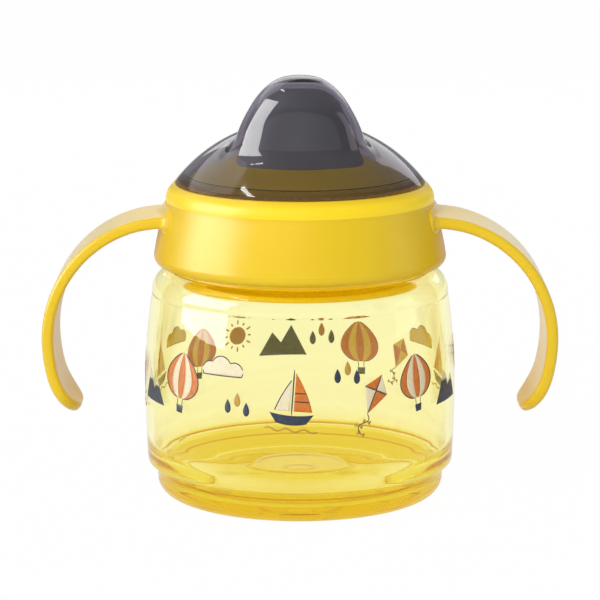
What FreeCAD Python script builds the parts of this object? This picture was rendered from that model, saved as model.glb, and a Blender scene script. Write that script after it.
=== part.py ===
"""A two-handled sippy cup: clear tumbler, screw collar with handles, soft spout, valves and travel cap.

Frame: millimetres, +Z up, origin on the tumbler's axis at the surface it stands on.
The handles point along +X and -X, and the spout lies towards -Y, where the child drinks.
"""
import FreeCAD
import Part
import math
import os

V = FreeCAD.Vector

# ---------------------------------------------------------------- driving sizes
# Tumbler
BODY_RADIUS = 39.25         # widest outer radius of the barrelled wall
BODY_WIDEST_Z = 27.0        # height of that widest ring
BODY_WALL = 1.9
LEDGE_INSET = 0.6           # the wall is this much slimmer at the ledge
SHOULDER_INSET = 1.95       # and this much slimmer below the shoulder
SHOULDER_Z = 57.3           # top of the shoulder, where the neck begins
SHOULDER_ROUND = 5.5
INNER_ROUND_LOSS = 0.5      # share of its inset by which an inner form's shoulder round shrinks
LEDGE_Z = 8.0               # underside of the ledge that lets cups stack
LEDGE_ROUND = 0.9
LEDGE_STEP = 2.4            # how far the foot is set in under the ledge
LEDGE_CREASE = 0.5          # small round where the ledge meets the foot
FOOT_ROUND = 4.0
FOOT_RING = 2.0             # width of the flat ring that touches the table
FLOOR_RECESS = 1.9          # how far the underside is hollowed inside that ring
RECESS_DRAFT = 0.8
RECESS_ROUND = 0.5
FLOOR_CROWN = 1.6           # further rise of the floor towards its middle
FLOOR_THICK = 1.9
FLOOR_ROUND = 2.4           # round between the floor and the wall, inside
PUNT_RADIUS = 12.4          # round push-up in the middle of the floor
PUNT_SLOPE = 1.4
PUNT_RISE = 0.9
PUNT_FOOT_ROUND = 2.0       # round where the push-up begins
PUNT_TOP_ROUND = 1.0
GATE_RADIUS = 4.6           # ring left round the moulding gate
GATE_WIDTH = 1.1
GATE_DEPTH = 0.5
# Neck
NECK_RADIUS = 32.4
NECK_WALL = 2.2
LIP_INSET = 0.8             # the plain lip above the thread is slimmer
LIP_HEIGHT = 4.5
NECK_HEIGHT = 17.7          # from the shoulder to the top of the lip
# Sealing ring
SEAL_THICK = 1.6
SEAL_ROOM = 0.15
# Collar
COLLAR_LIFT = 1.3           # gap between the shoulder and the collar's lower edge
THREAD_ROOM = 1.2           # radial room for the screw thread
LIP_ROOM = 0.4              # radial clearance round the plain lip
SKIRT_WALL = 3.5            # collar wall at its lower edge
SKIRT_ROUND = 2.4
SKIRT_EDGE_ROUND = 0.8      # round inside the lower edge
SKIRT_TAPER = 3.4           # how much slimmer the skirt is at its upper end
SKIRT_BOW = 0.35            # outward bow of the skirt between its two ends
SHOULDER_SPAN = 4.6         # height of the rounded shoulder above the skirt
SHOULDER_BOW = 0.65         # outward bow of that shoulder
SEAT_FLOOR = 2.4            # wall between the sealing ring and the cap's seat
SEAT_RIM = 0.35             # the seat is this much wider than the cap
PLUG_WALL = 1.2             # sealing skirt that lines the inside of the neck
PLUG_REACH = 1.2            # how far it reaches below the shoulder's inner face
PLUG_ROOM = 0.6
PLUG_ROUND = 0.5            # lead-in round at its lower edge
DECK_WALL = 1.9
DECK_UPSTAND = 0.8          # low wall that the cap's rim is pushed over
DECK_RISE = 9.1             # crown of the domed deck above that wall
WELL_WALL = 1.9             # wall of the oval well that holds the spout
# Handles: a strap along two tangent arcs and a tighter one at the free end
HANDLE_RADIUS = 29.8        # centreline radius of the upper arc
HANDLE_ROOT_X = 33.3        # distance of the upper arc's centre from the axis
HANDLE_DROP = 4.0           # the root's centreline below the skirt's upper end
HANDLE_SIDE_RADIUS = 40.0   # centreline radius below the widest point
HANDLE_SIDE_ANGLE = 13.5    # and the angle that this arc turns through
HANDLE_TIP_RADIUS = 17.0
HANDLE_TIP_ANGLE = 39.0
HANDLE_THICK = 2.9
HANDLE_ROOT_WIDTH = 22.0
HANDLE_WIDTH = 25.0         # width of the strap where the hand holds it
HANDLE_END_WIDTH = 21.0
HANDLE_END_ROUND = 8.5      # corner rounds of the free end
HANDLE_SWELL_ROUND = 45.0   # round of the outline at the widest place
HANDLE_EDGE_ROUND = 1.1
HANDLE_ROOT_ROUND = 2.0
# Spout, through the deck: an upright oval foot, then a tapered and leaning upper part
SPOUT_Y = -11.0             # centre of the spout's foot
SPOUT_HALF_WIDTH = 15.6
SPOUT_HALF_DEPTH = 9.4
SPOUT_SHOULDER_Z = 86.0     # top of the upright foot
SPOUT_HEIGHT = 18.5         # from there to the tip
TIP_HALF_WIDTH = 8.1
TIP_HALF_DEPTH = 6.8
TIP_LEAN = 2.4              # how far the tip leans out beyond the foot
TIP_ROUND = 5.0
SPOUT_WALL = 2.0
SPOUT_FIT = 0.3             # clearance of the soft foot in the collar's well
FLANGE_THICK = 1.6
FLANGE_WIDTH = 1.9
SIP_HOLE_RADIUS = 0.7
SIP_HOLE_PITCH = 3.0
SIP_HOLES = 3
# Valve
PLATE_THICK = 1.6
VALVE_PLUG_HEIGHT = 4.0
VALVE_PLUG_WALL = 1.5
VALVE_FIT = 0.3
TURRET_RADIUS = 6.4
TURRET_BORE = 4.9
TURRET_HEIGHT = 6.0
MEMBRANE_WALL = 1.5
MEMBRANE_FIT = 0.1
MEMBRANE_GRIP = 4.0         # length of turret that the membrane's skirt covers
MEMBRANE_REACH = 1.8        # how far the membrane hangs below the turret
MEMBRANE_SKIN = 0.9
MEMBRANE_DISH = 1.5         # how far the slit skin bows up towards the turret
MEMBRANE_ROUND = 0.7
TAB_X = 12.6                # finger tab for pulling the valve out
TAB_WIDTH = 8.0
TAB_DROP = 6.5
TAB_THICK = 1.4
TAB_ROUND = 2.5
# Vent
VENT_Y = 13.5
VENT_FLOOR_DROP = 2.9       # the vent's pocket floor lies this far below the deck's crown
VENT_POCKET_RADIUS = 4.3
VENT_POCKET_WALL = 1.4
VENT_HOLE = 2.0
VENT_FIT = 0.2
VENT_HEAD_GAP = 0.5         # room between the vent's head and the pocket's wall
VENT_HEAD_THICK = 0.9
VENT_HEAD_ROUND = 0.4
VENT_BEAD = 0.8             # the bead below the pocket is this much wider than the stem
VENT_BEAD_HEIGHT = 1.2
VENT_BILL_LENGTH = 4.4
VENT_BILL_TIP = 0.8         # half-thickness of the duckbill's closed lips
# Travel cap
CAP_RADIUS = 31.4
CAP_WALL = 1.4
CAP_EDGE = 0.4              # upright edge below the dome
CAP_RIM_WIDTH = 2.6
CAP_RIM_HEIGHT = 1.6        # the rim is solid up to this height above its seat
CAP_FIT = 0.3               # clearance of the cap's rim round the deck's low wall
CAP_RISE = 15.3             # crown of the cap's dome above its edge
HOOD_GAP = 0.7              # air between the spout and the hood over it
HOOD_HEADROOM = 0.9         # further air above the spout's tip
HOOD_CROWN = 18.0           # radius of the crown over the tip
HOOD_ROUND = 5.0            # round between that crown and the hood's sides
HOOD_BLEND = 3.2            # concave round between the hood and the dome

# ---------------------------------------------------------------- heights that follow
lip_top = SHOULDER_Z + NECK_HEIGHT
collar_bottom = SHOULDER_Z + COLLAR_LIFT
seal_top = lip_top + SEAL_THICK
cap_seat = seal_top + SEAT_FLOOR
skirt_top = cap_seat - SHOULDER_SPAN
deck_edge = cap_seat + DECK_UPSTAND
deck_top = deck_edge + DECK_RISE
plug_bottom = SHOULDER_Z - BODY_WALL - PLUG_REACH
rim_top = cap_seat + CAP_RIM_HEIGHT
flange_bottom = cap_seat - FLANGE_THICK
plate_bottom = flange_bottom - PLATE_THICK
turret_bottom = plate_bottom - TURRET_HEIGHT
membrane_bottom = turret_bottom - MEMBRANE_REACH
pocket_floor = deck_top - VENT_FLOOR_DROP
spout_tip = SPOUT_SHOULDER_Z + SPOUT_HEIGHT

# ---------------------------------------------------------------- radii that follow
neck_bore = NECK_RADIUS - NECK_WALL
lip_radius = NECK_RADIUS - LIP_INSET
collar_bore = NECK_RADIUS + THREAD_ROOM
lip_bore = lip_radius + LIP_ROOM
skirt_radius = collar_bore + SKIRT_WALL
skirt_top_radius = skirt_radius - SKIRT_TAPER
plug_radius = neck_bore - PLUG_ROOM
deck_bore = plug_radius - PLUG_WALL
seat_radius = CAP_RADIUS + SEAT_RIM
rim_bore = CAP_RADIUS - CAP_RIM_WIDTH
upstand_radius = rim_bore - CAP_FIT
foot_radius = BODY_RADIUS - LEDGE_INSET - LEDGE_STEP
foot_ring_bore = foot_radius - FOOT_ROUND - FOOT_RING


# ---------------------------------------------------------------- drawing helpers
def arc_edge(start, through, end):
    """Arc in the XZ plane through three (x, z) points."""
    return Part.Arc(*[V(x, 0, z) for x, z in (start, through, end)]).toShape()


def line_edge(start, end):
    """Straight edge in the XZ plane between two (x, z) points."""
    return Part.LineSegment(V(start[0], 0, start[1]), V(end[0], 0, end[1])).toShape()


def rounded_wire(corners):
    """Closed wire in the XZ plane. A corner is (x, z), or (x, z, radius of its round)."""
    places = [V(corner[0], 0, corner[1]) for corner in corners]
    starts = []
    ends = []
    edges = []
    for i, here in enumerate(places):
        radius = corners[i][2] if len(corners[i]) > 2 else 0.0
        back = (places[i - 1] - here).normalize()
        on = (places[(i + 1) % len(places)] - here).normalize()
        half = back.getAngle(on) / 2
        starts.append(here + back * (radius / math.tan(half)))
        ends.append(here + on * (radius / math.tan(half)))
        if radius > 0:
            middle = here + (back + on).normalize() * (radius / math.sin(half) - radius)
            edges.append(Part.Arc(starts[i], middle, ends[i]).toShape())
    for i, end in enumerate(ends):
        following = starts[(i + 1) % len(places)]
        if end.distanceToPoint(following) > 1e-6:
            edges.append(Part.LineSegment(end, following).toShape())
    return Part.Wire(Part.__sortEdges__(edges))


def turned(wire):
    """Solid made by turning a closed XZ profile once about the Z axis."""
    return Part.Face(wire).revolve(V(0, 0, 0), V(0, 0, 1), 360)


def cylinder(radius, bottom, top, x=0.0, y=0.0):
    """Upright cylinder between two heights."""
    return Part.makeCylinder(radius, top - bottom, V(x, y, bottom))


def dome(edge_radius, edge_z, rise, inset=0.0):
    """Ball whose cap has this edge radius and rise, made smaller by an inset."""
    radius = (edge_radius ** 2 + rise ** 2) / (2 * rise)
    return Part.makeSphere(radius - inset, V(0, 0, edge_z + rise - radius))


def level_circles(shape, z, radius, reach=0.3):
    """The shape's level circular edges near a height and a radius."""
    found = []
    for edge in shape.Edges:
        box = edge.BoundBox
        if box.ZLength < 1e-3 and abs(box.ZMin - z) < reach and abs(box.XLength / 2 - radius) < reach:
            found.append(edge)
    return found


def rounded_circle(shape, z, radius, size):
    """The shape with its level circular edge at this height and radius rounded."""
    return shape.makeFillet(size, level_circles(shape, z, radius))


# ---------------------------------------------------------------- tumbler
def wall_radius(z, inset=0.0):
    """Outer radius of the barrelled wall at a height, less an inset."""
    if z < BODY_WIDEST_Z:
        share = (BODY_WIDEST_Z - z) / (BODY_WIDEST_Z - LEDGE_Z)
        return BODY_RADIUS - LEDGE_INSET * share ** 2 - inset
    share = (z - BODY_WIDEST_Z) / (SHOULDER_Z - SHOULDER_ROUND - BODY_WIDEST_Z)
    return BODY_RADIUS - SHOULDER_INSET * share ** 2 - inset


def tumbler_form(inset, floor):
    """Filled tumbler up to the shoulder: its outside, or with an inset its inside."""
    ledge = LEDGE_Z + inset
    shoulder = SHOULDER_Z - inset
    bend = SHOULDER_ROUND - inset * INNER_ROUND_LOSS
    foot = foot_radius - inset
    low = (wall_radius(ledge, inset), ledge)
    wide = (wall_radius(BODY_WIDEST_Z, inset), BODY_WIDEST_Z)
    high = (wall_radius(shoulder - bend, inset), shoulder - bend)
    top = (high[0] - bend, shoulder)
    lean = bend * math.sqrt(0.5)
    lower_z = (ledge + BODY_WIDEST_Z) / 2
    upper_z = (BODY_WIDEST_Z + high[1]) / 2
    edges = [
        line_edge((0, floor), (foot, floor)),
        line_edge((foot, floor), (foot, ledge)),
        line_edge((foot, ledge), low),
        arc_edge(low, (wall_radius(lower_z, inset), lower_z), wide),
        arc_edge(wide, (wall_radius(upper_z, inset), upper_z), high),
        arc_edge(high, (top[0] + lean, high[1] + lean), top),
        line_edge(top, (0, shoulder)),
        line_edge((0, shoulder), (0, floor)),
    ]
    return turned(Part.Wire(edges))


def floor_form(bottom, edge_radius, rest_z):
    """Turned form under the floor's surface: a rise at the edge, a gentle crown and a punt."""
    crown_z = rest_z + FLOOR_CROWN
    return turned(rounded_wire([
        (0, bottom),
        (edge_radius, bottom),
        (edge_radius, 0),
        (edge_radius - RECESS_DRAFT, rest_z, RECESS_ROUND),
        (PUNT_RADIUS + PUNT_SLOPE, crown_z, PUNT_FOOT_ROUND),
        (PUNT_RADIUS, crown_z + PUNT_RISE, PUNT_TOP_ROUND),
        (0, crown_z + PUNT_RISE),
    ]))


def make_tumbler():
    """Clear tumbler: barrelled wall, stacking ledge, hollow foot, shoulder and neck."""
    floor_edge = FLOOR_RECESS + FLOOR_THICK
    outside = tumbler_form(0.0, 0.0)
    outside = rounded_circle(outside, 0.0, foot_radius, FOOT_ROUND)
    outside = rounded_circle(outside, LEDGE_Z, wall_radius(LEDGE_Z), LEDGE_ROUND)
    outside = rounded_circle(outside, LEDGE_Z, foot_radius, LEDGE_CREASE)
    neck = cylinder(NECK_RADIUS, SHOULDER_Z - BODY_WALL, lip_top - LIP_HEIGHT)
    lip = cylinder(lip_radius, lip_top - LIP_HEIGHT, lip_top)
    outside = outside.fuse([neck, lip]).removeSplitter()
    inside = tumbler_form(BODY_WALL, floor_edge)
    inside = rounded_circle(inside, floor_edge, foot_radius - BODY_WALL, FLOOR_ROUND)
    inside = inside.cut(floor_form(-1, foot_ring_bore, floor_edge))
    inside = inside.fuse(cylinder(neck_bore, SHOULDER_Z - 2 * BODY_WALL, lip_top + 1))
    underside = floor_form(-1, foot_ring_bore, FLOOR_RECESS)
    gate_z = FLOOR_RECESS + FLOOR_CROWN + PUNT_RISE
    gate = cylinder(GATE_RADIUS, gate_z - GATE_DEPTH, gate_z + GATE_DEPTH)
    gate = gate.cut(cylinder(GATE_RADIUS - GATE_WIDTH, 0, lip_top))
    return outside.cut([inside, underside]).fuse(gate).removeSplitter()


# ---------------------------------------------------------------- sealing ring
def make_seal_ring():
    """Soft flat ring between the tumbler's lip and the collar."""
    outer = cylinder(lip_bore - SEAL_ROOM, lip_top, seal_top)
    return outer.cut(cylinder(plug_radius + SEAL_ROOM, lip_top - 1, seal_top + 1))


# ---------------------------------------------------------------- spout form, shared by spout, well and cap
def oval_wire(half_width, half_depth, y, z):
    """Level oval, wide along X."""
    corner_x = V(half_width, y, z)
    corner_y = V(0, y + half_depth, z)
    return Part.Wire(Part.Ellipse(corner_x, corner_y, V(0, y, z)).toShape())


def foot_prism(grow, bottom, top):
    """Upright oval prism: the spout's foot, grown on all sides."""
    outline = oval_wire(SPOUT_HALF_WIDTH + grow, SPOUT_HALF_DEPTH + grow, SPOUT_Y, bottom)
    return Part.Face(outline).extrude(V(0, 0, top - bottom))


def taper_oval(grow, z):
    """Level oval of the tapering upper part at a height, grown on all sides."""
    slope_x = (SPOUT_HALF_WIDTH - TIP_HALF_WIDTH) / SPOUT_HEIGHT
    slope_y = (SPOUT_HALF_DEPTH - TIP_HALF_DEPTH) / SPOUT_HEIGHT
    rise = z - SPOUT_SHOULDER_Z
    half_width = SPOUT_HALF_WIDTH - rise * slope_x + grow * math.hypot(1, slope_x)
    half_depth = SPOUT_HALF_DEPTH - rise * slope_y + grow * math.hypot(1, slope_y)
    return oval_wire(half_width, half_depth, SPOUT_Y - TIP_LEAN * rise / SPOUT_HEIGHT, z)


def taper_form(grow, bottom):
    """Tapered, leaning upper part of the spout down to a height, grown on all sides."""
    tip_z = spout_tip + grow
    form = Part.makeLoft([taper_oval(grow, bottom), taper_oval(grow, tip_z)], True, True)
    rim = [edge for edge in form.Edges if edge.BoundBox.ZMin > tip_z - 0.01]
    return form.makeFillet(TIP_ROUND + grow, rim)


# ---------------------------------------------------------------- collar with its handles
def handle_strap():
    """Strap handle on the +X side, reaching in past the skirt, with rounded long edges."""
    root_z = skirt_top - HANDLE_DROP
    turn_z = root_z - HANDLE_RADIUS
    half = HANDLE_THICK / 2
    side_x = HANDLE_ROOT_X + HANDLE_RADIUS - HANDLE_SIDE_RADIUS
    side_angle = math.radians(HANDLE_SIDE_ANGLE)
    tip_shift = HANDLE_SIDE_RADIUS - HANDLE_TIP_RADIUS
    tip_x = side_x + tip_shift * math.cos(side_angle)
    tip_z = turn_z - tip_shift * math.sin(side_angle)
    arcs = [
        (HANDLE_ROOT_X, turn_z, HANDLE_RADIUS, math.radians(90), 0.0),
        (side_x, turn_z, HANDLE_SIDE_RADIUS, 0.0, -side_angle),
        (tip_x, tip_z, HANDLE_TIP_RADIUS, -side_angle, -side_angle - math.radians(HANDLE_TIP_ANGLE)),
    ]
    edges = []
    ends = []
    for offset in (half, -half):
        for x, z, radius, start, stop in arcs:
            angles = (start, (start + stop) / 2, stop)
            reach = radius + offset
            edges.append(arc_edge(*[(x + reach * math.cos(a), z + reach * math.sin(a)) for a in angles]))
        ends.append((x + reach * math.cos(stop), z + reach * math.sin(stop)))
        edges.append(line_edge((deck_bore, root_z + offset), (HANDLE_ROOT_X, root_z + offset)))
    edges.append(line_edge(*ends))
    edges.append(line_edge((deck_bore, root_z + half), (deck_bore, root_z - half)))
    band = Part.Face(Part.Wire(Part.__sortEdges__(edges)))
    blank = band.extrude(V(0, 2 * HANDLE_WIDTH, 0))
    blank.translate(V(0, -HANDLE_WIDTH, 0))
    bottom = min(z for _, z in ends)
    swell_z = (root_z + bottom) / 2
    sides = []
    for side in (1, -1):
        edge_line = [
            (side * HANDLE_ROOT_WIDTH / 2, root_z + 2 * HANDLE_THICK),
            (side * HANDLE_ROOT_WIDTH / 2, root_z - HANDLE_THICK, HANDLE_SWELL_ROUND),
            (side * HANDLE_WIDTH / 2, swell_z, HANDLE_SWELL_ROUND),
            (side * HANDLE_END_WIDTH / 2, bottom, HANDLE_END_ROUND),
        ]
        sides += edge_line if side > 0 else edge_line[::-1]
    outline = rounded_wire(sides)
    outline.rotate(V(0, 0, 0), V(0, 0, 1), 90)
    strap = blank.common(Part.Face(outline).extrude(V(2 * HANDLE_WIDTH + HANDLE_ROOT_X, 0, 0)))
    long_edges = [edge for edge in strap.Edges if edge.BoundBox.XMax > deck_bore + 0.01
                  and edge.BoundBox.ZLength + edge.BoundBox.XLength > 0.01]
    return strap, long_edges


def skirt_form():
    """Filled outside of the collar up to the cap's seat: bowed skirt and rounded shoulder."""
    low = (skirt_radius, collar_bottom)
    high = (skirt_top_radius, skirt_top)
    seat = (seat_radius, cap_seat)
    skirt_middle = ((low[0] + high[0]) / 2 + SKIRT_BOW, (low[1] + high[1]) / 2)
    shoulder_middle = ((high[0] + seat[0]) / 2 + SHOULDER_BOW, (high[1] + seat[1]) / 2)
    wire = Part.Wire([
        line_edge((0, collar_bottom), low),
        arc_edge(low, skirt_middle, high),
        arc_edge(high, shoulder_middle, seat),
        line_edge(seat, (0, cap_seat)),
        line_edge((0, cap_seat), (0, collar_bottom)),
    ])
    return rounded_circle(turned(wire), collar_bottom, skirt_radius, SKIRT_ROUND)


def plug_form():
    """Filled outside of the sealing skirt that lines the neck."""
    plug = cylinder(plug_radius, plug_bottom, seal_top)
    return rounded_circle(plug, plug_bottom, plug_radius, PLUG_ROUND)


def collar_cavity():
    """Everything hollow inside the collar below its deck, round and inside the sealing skirt."""
    thread_top = lip_top - LIP_HEIGHT
    skirt_room = turned(rounded_wire([
        (0, collar_bottom - 1),
        (collar_bore + SKIRT_EDGE_ROUND + 1, collar_bottom - 1),
        (collar_bore, collar_bottom + SKIRT_EDGE_ROUND),
        (collar_bore, thread_top),
        (lip_bore, thread_top + collar_bore - lip_bore),
        (lip_bore, seal_top),
        (0, seal_top),
    ]))
    under_deck = cylinder(deck_bore, plug_bottom - 1, deck_top)
    under_deck = under_deck.common(dome(upstand_radius, deck_edge, DECK_RISE, DECK_WALL))
    return skirt_room.cut(plug_form()).fuse(under_deck)


def vent_pocket():
    """Round pocket in the deck for the vent: its outside, its hollow and its hole."""
    boss = cylinder(VENT_POCKET_RADIUS + VENT_POCKET_WALL, pocket_floor - DECK_WALL, deck_top, 0, VENT_Y)
    hollow = cylinder(VENT_POCKET_RADIUS, pocket_floor, deck_top + 1, 0, VENT_Y)
    hole = cylinder(VENT_HOLE, collar_bottom, deck_top, 0, VENT_Y)
    return boss, hollow.fuse(hole)


def handle_roots(shape):
    """Edges where the two straps meet the skirt."""
    root_z = skirt_top - HANDLE_DROP
    found = []
    for edge in shape.Edges:
        box = edge.BoundBox
        beside = deck_bore < abs(box.Center.x) < skirt_radius and box.XLength < HANDLE_THICK
        level = abs(box.Center.z - root_z) < HANDLE_THICK and box.ZLength < HANDLE_THICK
        if beside and level and (box.YLength > 0.01 or abs(box.Center.y) > 1):
            found.append(edge)
    return found


def make_handle_collar():
    """Screw collar, domed deck with the spout's well and the vent's pocket, and both handles."""
    strap, long_edges = handle_strap()
    strap = strap.makeFillet(HANDLE_EDGE_ROUND, long_edges)
    crown = dome(upstand_radius, deck_edge, DECK_RISE)
    deck = crown.common(cylinder(upstand_radius, cap_seat - 1, deck_top + 1))
    outside = skirt_form().fuse([strap, strap.mirror(V(0, 0, 0), V(1, 0, 0))])
    outside = outside.makeFillet(HANDLE_ROOT_ROUND, handle_roots(outside)).fuse([deck, plug_form()])
    well = foot_prism(SPOUT_FIT + WELL_WALL, cap_seat, deck_top).common(crown)
    boss, hollow = vent_pocket()
    cavity = collar_cavity().cut([well, boss.common(crown)])
    spout_room = foot_prism(SPOUT_FIT, collar_bottom, deck_top + 1)
    return outside.cut([cavity, spout_room, hollow]).removeSplitter()


# ---------------------------------------------------------------- spout
def make_spout():
    """Soft drinking spout: hollow, flanged below the deck, with a row of sip holes at its tip."""
    foot = foot_prism(0.0, flange_bottom, SPOUT_SHOULDER_Z)
    flange = foot_prism(FLANGE_WIDTH, flange_bottom, cap_seat)
    inner = taper_form(-SPOUT_WALL, SPOUT_SHOULDER_Z)
    channel = foot_prism(-SPOUT_WALL, flange_bottom - 1, SPOUT_SHOULDER_Z)
    spout = taper_form(0.0, SPOUT_SHOULDER_Z).fuse([foot, flange]).cut([inner, channel])
    for i in range(SIP_HOLES):
        x = (i - (SIP_HOLES - 1) / 2) * SIP_HOLE_PITCH
        hole = cylinder(SIP_HOLE_RADIUS, spout_tip - 2 * SPOUT_WALL, spout_tip + 1, x, SPOUT_Y - TIP_LEAN)
        spout = spout.cut(hole)
    return spout.removeSplitter()


# ---------------------------------------------------------------- valve
def make_valve_housing():
    """Plate under the spout's flange, plug up into its foot, turret below and a finger tab."""
    plate = foot_prism(FLANGE_WIDTH, plate_bottom, flange_bottom)
    plug_grow = -SPOUT_WALL - VALVE_FIT
    plug = foot_prism(plug_grow, plate_bottom, flange_bottom + VALVE_PLUG_HEIGHT)
    plug_room = foot_prism(plug_grow - VALVE_PLUG_WALL, flange_bottom, flange_bottom + VALVE_PLUG_HEIGHT + 1)
    turret = cylinder(TURRET_RADIUS, turret_bottom, plate_bottom, 0, SPOUT_Y)
    bore = cylinder(TURRET_BORE, turret_bottom - 1, flange_bottom + 1, 0, SPOUT_Y)
    tab = Part.makeBox(TAB_THICK, TAB_WIDTH, TAB_DROP, V(TAB_X, SPOUT_Y - TAB_WIDTH / 2, plate_bottom - TAB_DROP))
    corners = [edge for edge in tab.Edges if edge.BoundBox.XLength > 0.1
               and edge.BoundBox.ZMax < plate_bottom - TAB_DROP / 2]
    tab = tab.makeFillet(TAB_ROUND, corners)
    return plate.fuse([plug, turret, tab]).cut([plug_room, bore]).removeSplitter()


def make_slit_valve():
    """Soft cup pushed over the turret, closed by a dished skin with a cross slit."""
    grip_bore = TURRET_RADIUS + MEMBRANE_FIT
    outer_radius = grip_bore + MEMBRANE_WALL
    outer = cylinder(outer_radius, membrane_bottom, turret_bottom + MEMBRANE_GRIP)
    outer = rounded_circle(outer, membrane_bottom, outer_radius, MEMBRANE_ROUND)
    grip = cylinder(grip_bore, turret_bottom, turret_bottom + MEMBRANE_GRIP + 1)
    edge_z = membrane_bottom + MEMBRANE_SKIN
    upper = cylinder(TURRET_BORE, edge_z, turret_bottom + 1)
    skin = dome(TURRET_BORE, edge_z, MEMBRANE_DISH)
    dish = dome(TURRET_BORE, membrane_bottom, MEMBRANE_DISH)
    below = cylinder(TURRET_BORE, membrane_bottom - 1, membrane_bottom + MEMBRANE_DISH + 1)
    valve = outer.cut([grip, upper.cut(skin), dish.common(below)])
    valve.translate(V(0, SPOUT_Y, 0))
    return valve.removeSplitter()


# ---------------------------------------------------------------- vent
def make_vent_valve():
    """Soft vent: round head in the pocket, stem through its floor, bead and duckbill below."""
    stem = VENT_HOLE - VENT_FIT
    head = VENT_POCKET_RADIUS - VENT_HEAD_GAP
    under = pocket_floor - DECK_WALL
    body = turned(rounded_wire([
        (0, under - VENT_BEAD_HEIGHT),
        (stem, under - VENT_BEAD_HEIGHT),
        (stem + VENT_BEAD, under),
        (stem, under),
        (stem, pocket_floor),
        (head, pocket_floor),
        (head, pocket_floor + VENT_HEAD_THICK, VENT_HEAD_ROUND),
        (0, pocket_floor + VENT_HEAD_THICK),
    ]))
    bill_top = oval_wire(stem, stem, 0, under - VENT_BEAD_HEIGHT)
    bill_end = oval_wire(stem, VENT_BILL_TIP, 0, under - VENT_BEAD_HEIGHT - VENT_BILL_LENGTH)
    bill = Part.makeLoft([bill_top, bill_end], True, True)
    valve = body.fuse(bill)
    valve.translate(V(0, VENT_Y, 0))
    return valve.removeSplitter()


# ---------------------------------------------------------------- travel cap
def hood_form(inset, bottom):
    """Filled hood that follows the spout's taper up to a crowned top, made smaller by an inset."""
    grow = HOOD_GAP + CAP_WALL - inset
    top_z = spout_tip + grow + HOOD_HEADROOM
    crown = HOOD_CROWN - inset
    centre = V(0, SPOUT_Y - TIP_LEAN, top_z - crown)
    taper = Part.makeLoft([taper_oval(grow, bottom), taper_oval(grow, top_z)], True, True)
    ball = Part.makeSphere(crown, centre, V(0, 1, 0))
    below = cylinder(2 * crown, bottom, centre.z, centre.x, centre.y)
    form = taper.common(ball.fuse(below))
    rim = []
    for edge in form.Edges:
        box = edge.BoundBox
        if box.ZMin > centre.z and box.ZMax < top_z - 0.1 and box.XLength > TIP_HALF_WIDTH:
            rim.append(edge)
    return form.makeFillet(HOOD_ROUND - inset, rim)


def cap_form(inset, bottom):
    """Filled cap: a dome and the hood over the spout, blended, and made smaller by an inset."""
    edge_z = cap_seat + CAP_EDGE
    round_top = dome(CAP_RADIUS, edge_z, CAP_RISE, inset)
    round_top = round_top.common(cylinder(CAP_RADIUS - inset, bottom, edge_z + CAP_RISE + 1))
    whole = round_top.fuse(hood_form(inset, bottom))
    creases = []
    for edge in whole.Edges:
        box = edge.BoundBox
        above = box.ZMin > edge_z + 1 and box.ZMax < edge_z + CAP_RISE
        if above and box.ZLength > 1 and box.XLength > SPOUT_HALF_WIDTH and box.YLength > 1:
            creases.append(edge)
    return whole.makeFillet(HOOD_BLEND + inset, creases)


def cap_rim():
    """Filled wedge of the cap's rim, which follows the deck's low wall and its dome."""
    radius = (upstand_radius ** 2 + DECK_RISE ** 2) / (2 * DECK_RISE)
    drop = deck_top - rim_top
    deck_at_top = math.sqrt(2 * radius * drop - drop ** 2)
    return turned(rounded_wire([
        (rim_bore, cap_seat - 2),
        (rim_bore, deck_edge),
        (deck_at_top + CAP_FIT, rim_top),
        (CAP_RADIUS + 1, rim_top),
        (CAP_RADIUS + 1, cap_seat - 2),
    ]))


def make_travel_cap():
    """See-through travel cap: one shell over the deck and the spout, with a thick rim."""
    outside = cap_form(0.0, cap_seat)
    inside = cap_form(CAP_WALL, cap_seat - 1).cut(cap_rim())
    return outside.cut(inside).removeSplitter()


# ---------------------------------------------------------------- everything
PIECES = {
    "tumbler": make_tumbler,
    "seal_ring": make_seal_ring,
    "handle_collar": make_handle_collar,
    "spout": make_spout,
    "valve_housing": make_valve_housing,
    "slit_valve": make_slit_valve,
    "vent_valve": make_vent_valve,
    "travel_cap": make_travel_cap,
}


def main():
    """Write one STEP file for each piece."""
    os.makedirs("parts", exist_ok=True)
    for name, make in PIECES.items():
        shape = make()
        shape.exportStep(f"parts/{name}.step")
        print(f"{name}: {len(shape.Solids)} solid, {shape.Volume:.0f} mm3, valid {shape.isValid()}")


if __name__ == "__main__":
    main()
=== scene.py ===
"""A two-handled sippy cup for the shelf: clear tumbler, screw collar, soft spout and travel cap.

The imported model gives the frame: millimetre sizes here are the maker's own, and every mesh is
written in metres around the tumbler's axis, with the spout towards -Y and the handles along X.
"""
import logging
import math
from collections.abc import Sequence
from dataclasses import dataclass, field
from enum import Enum

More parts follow.
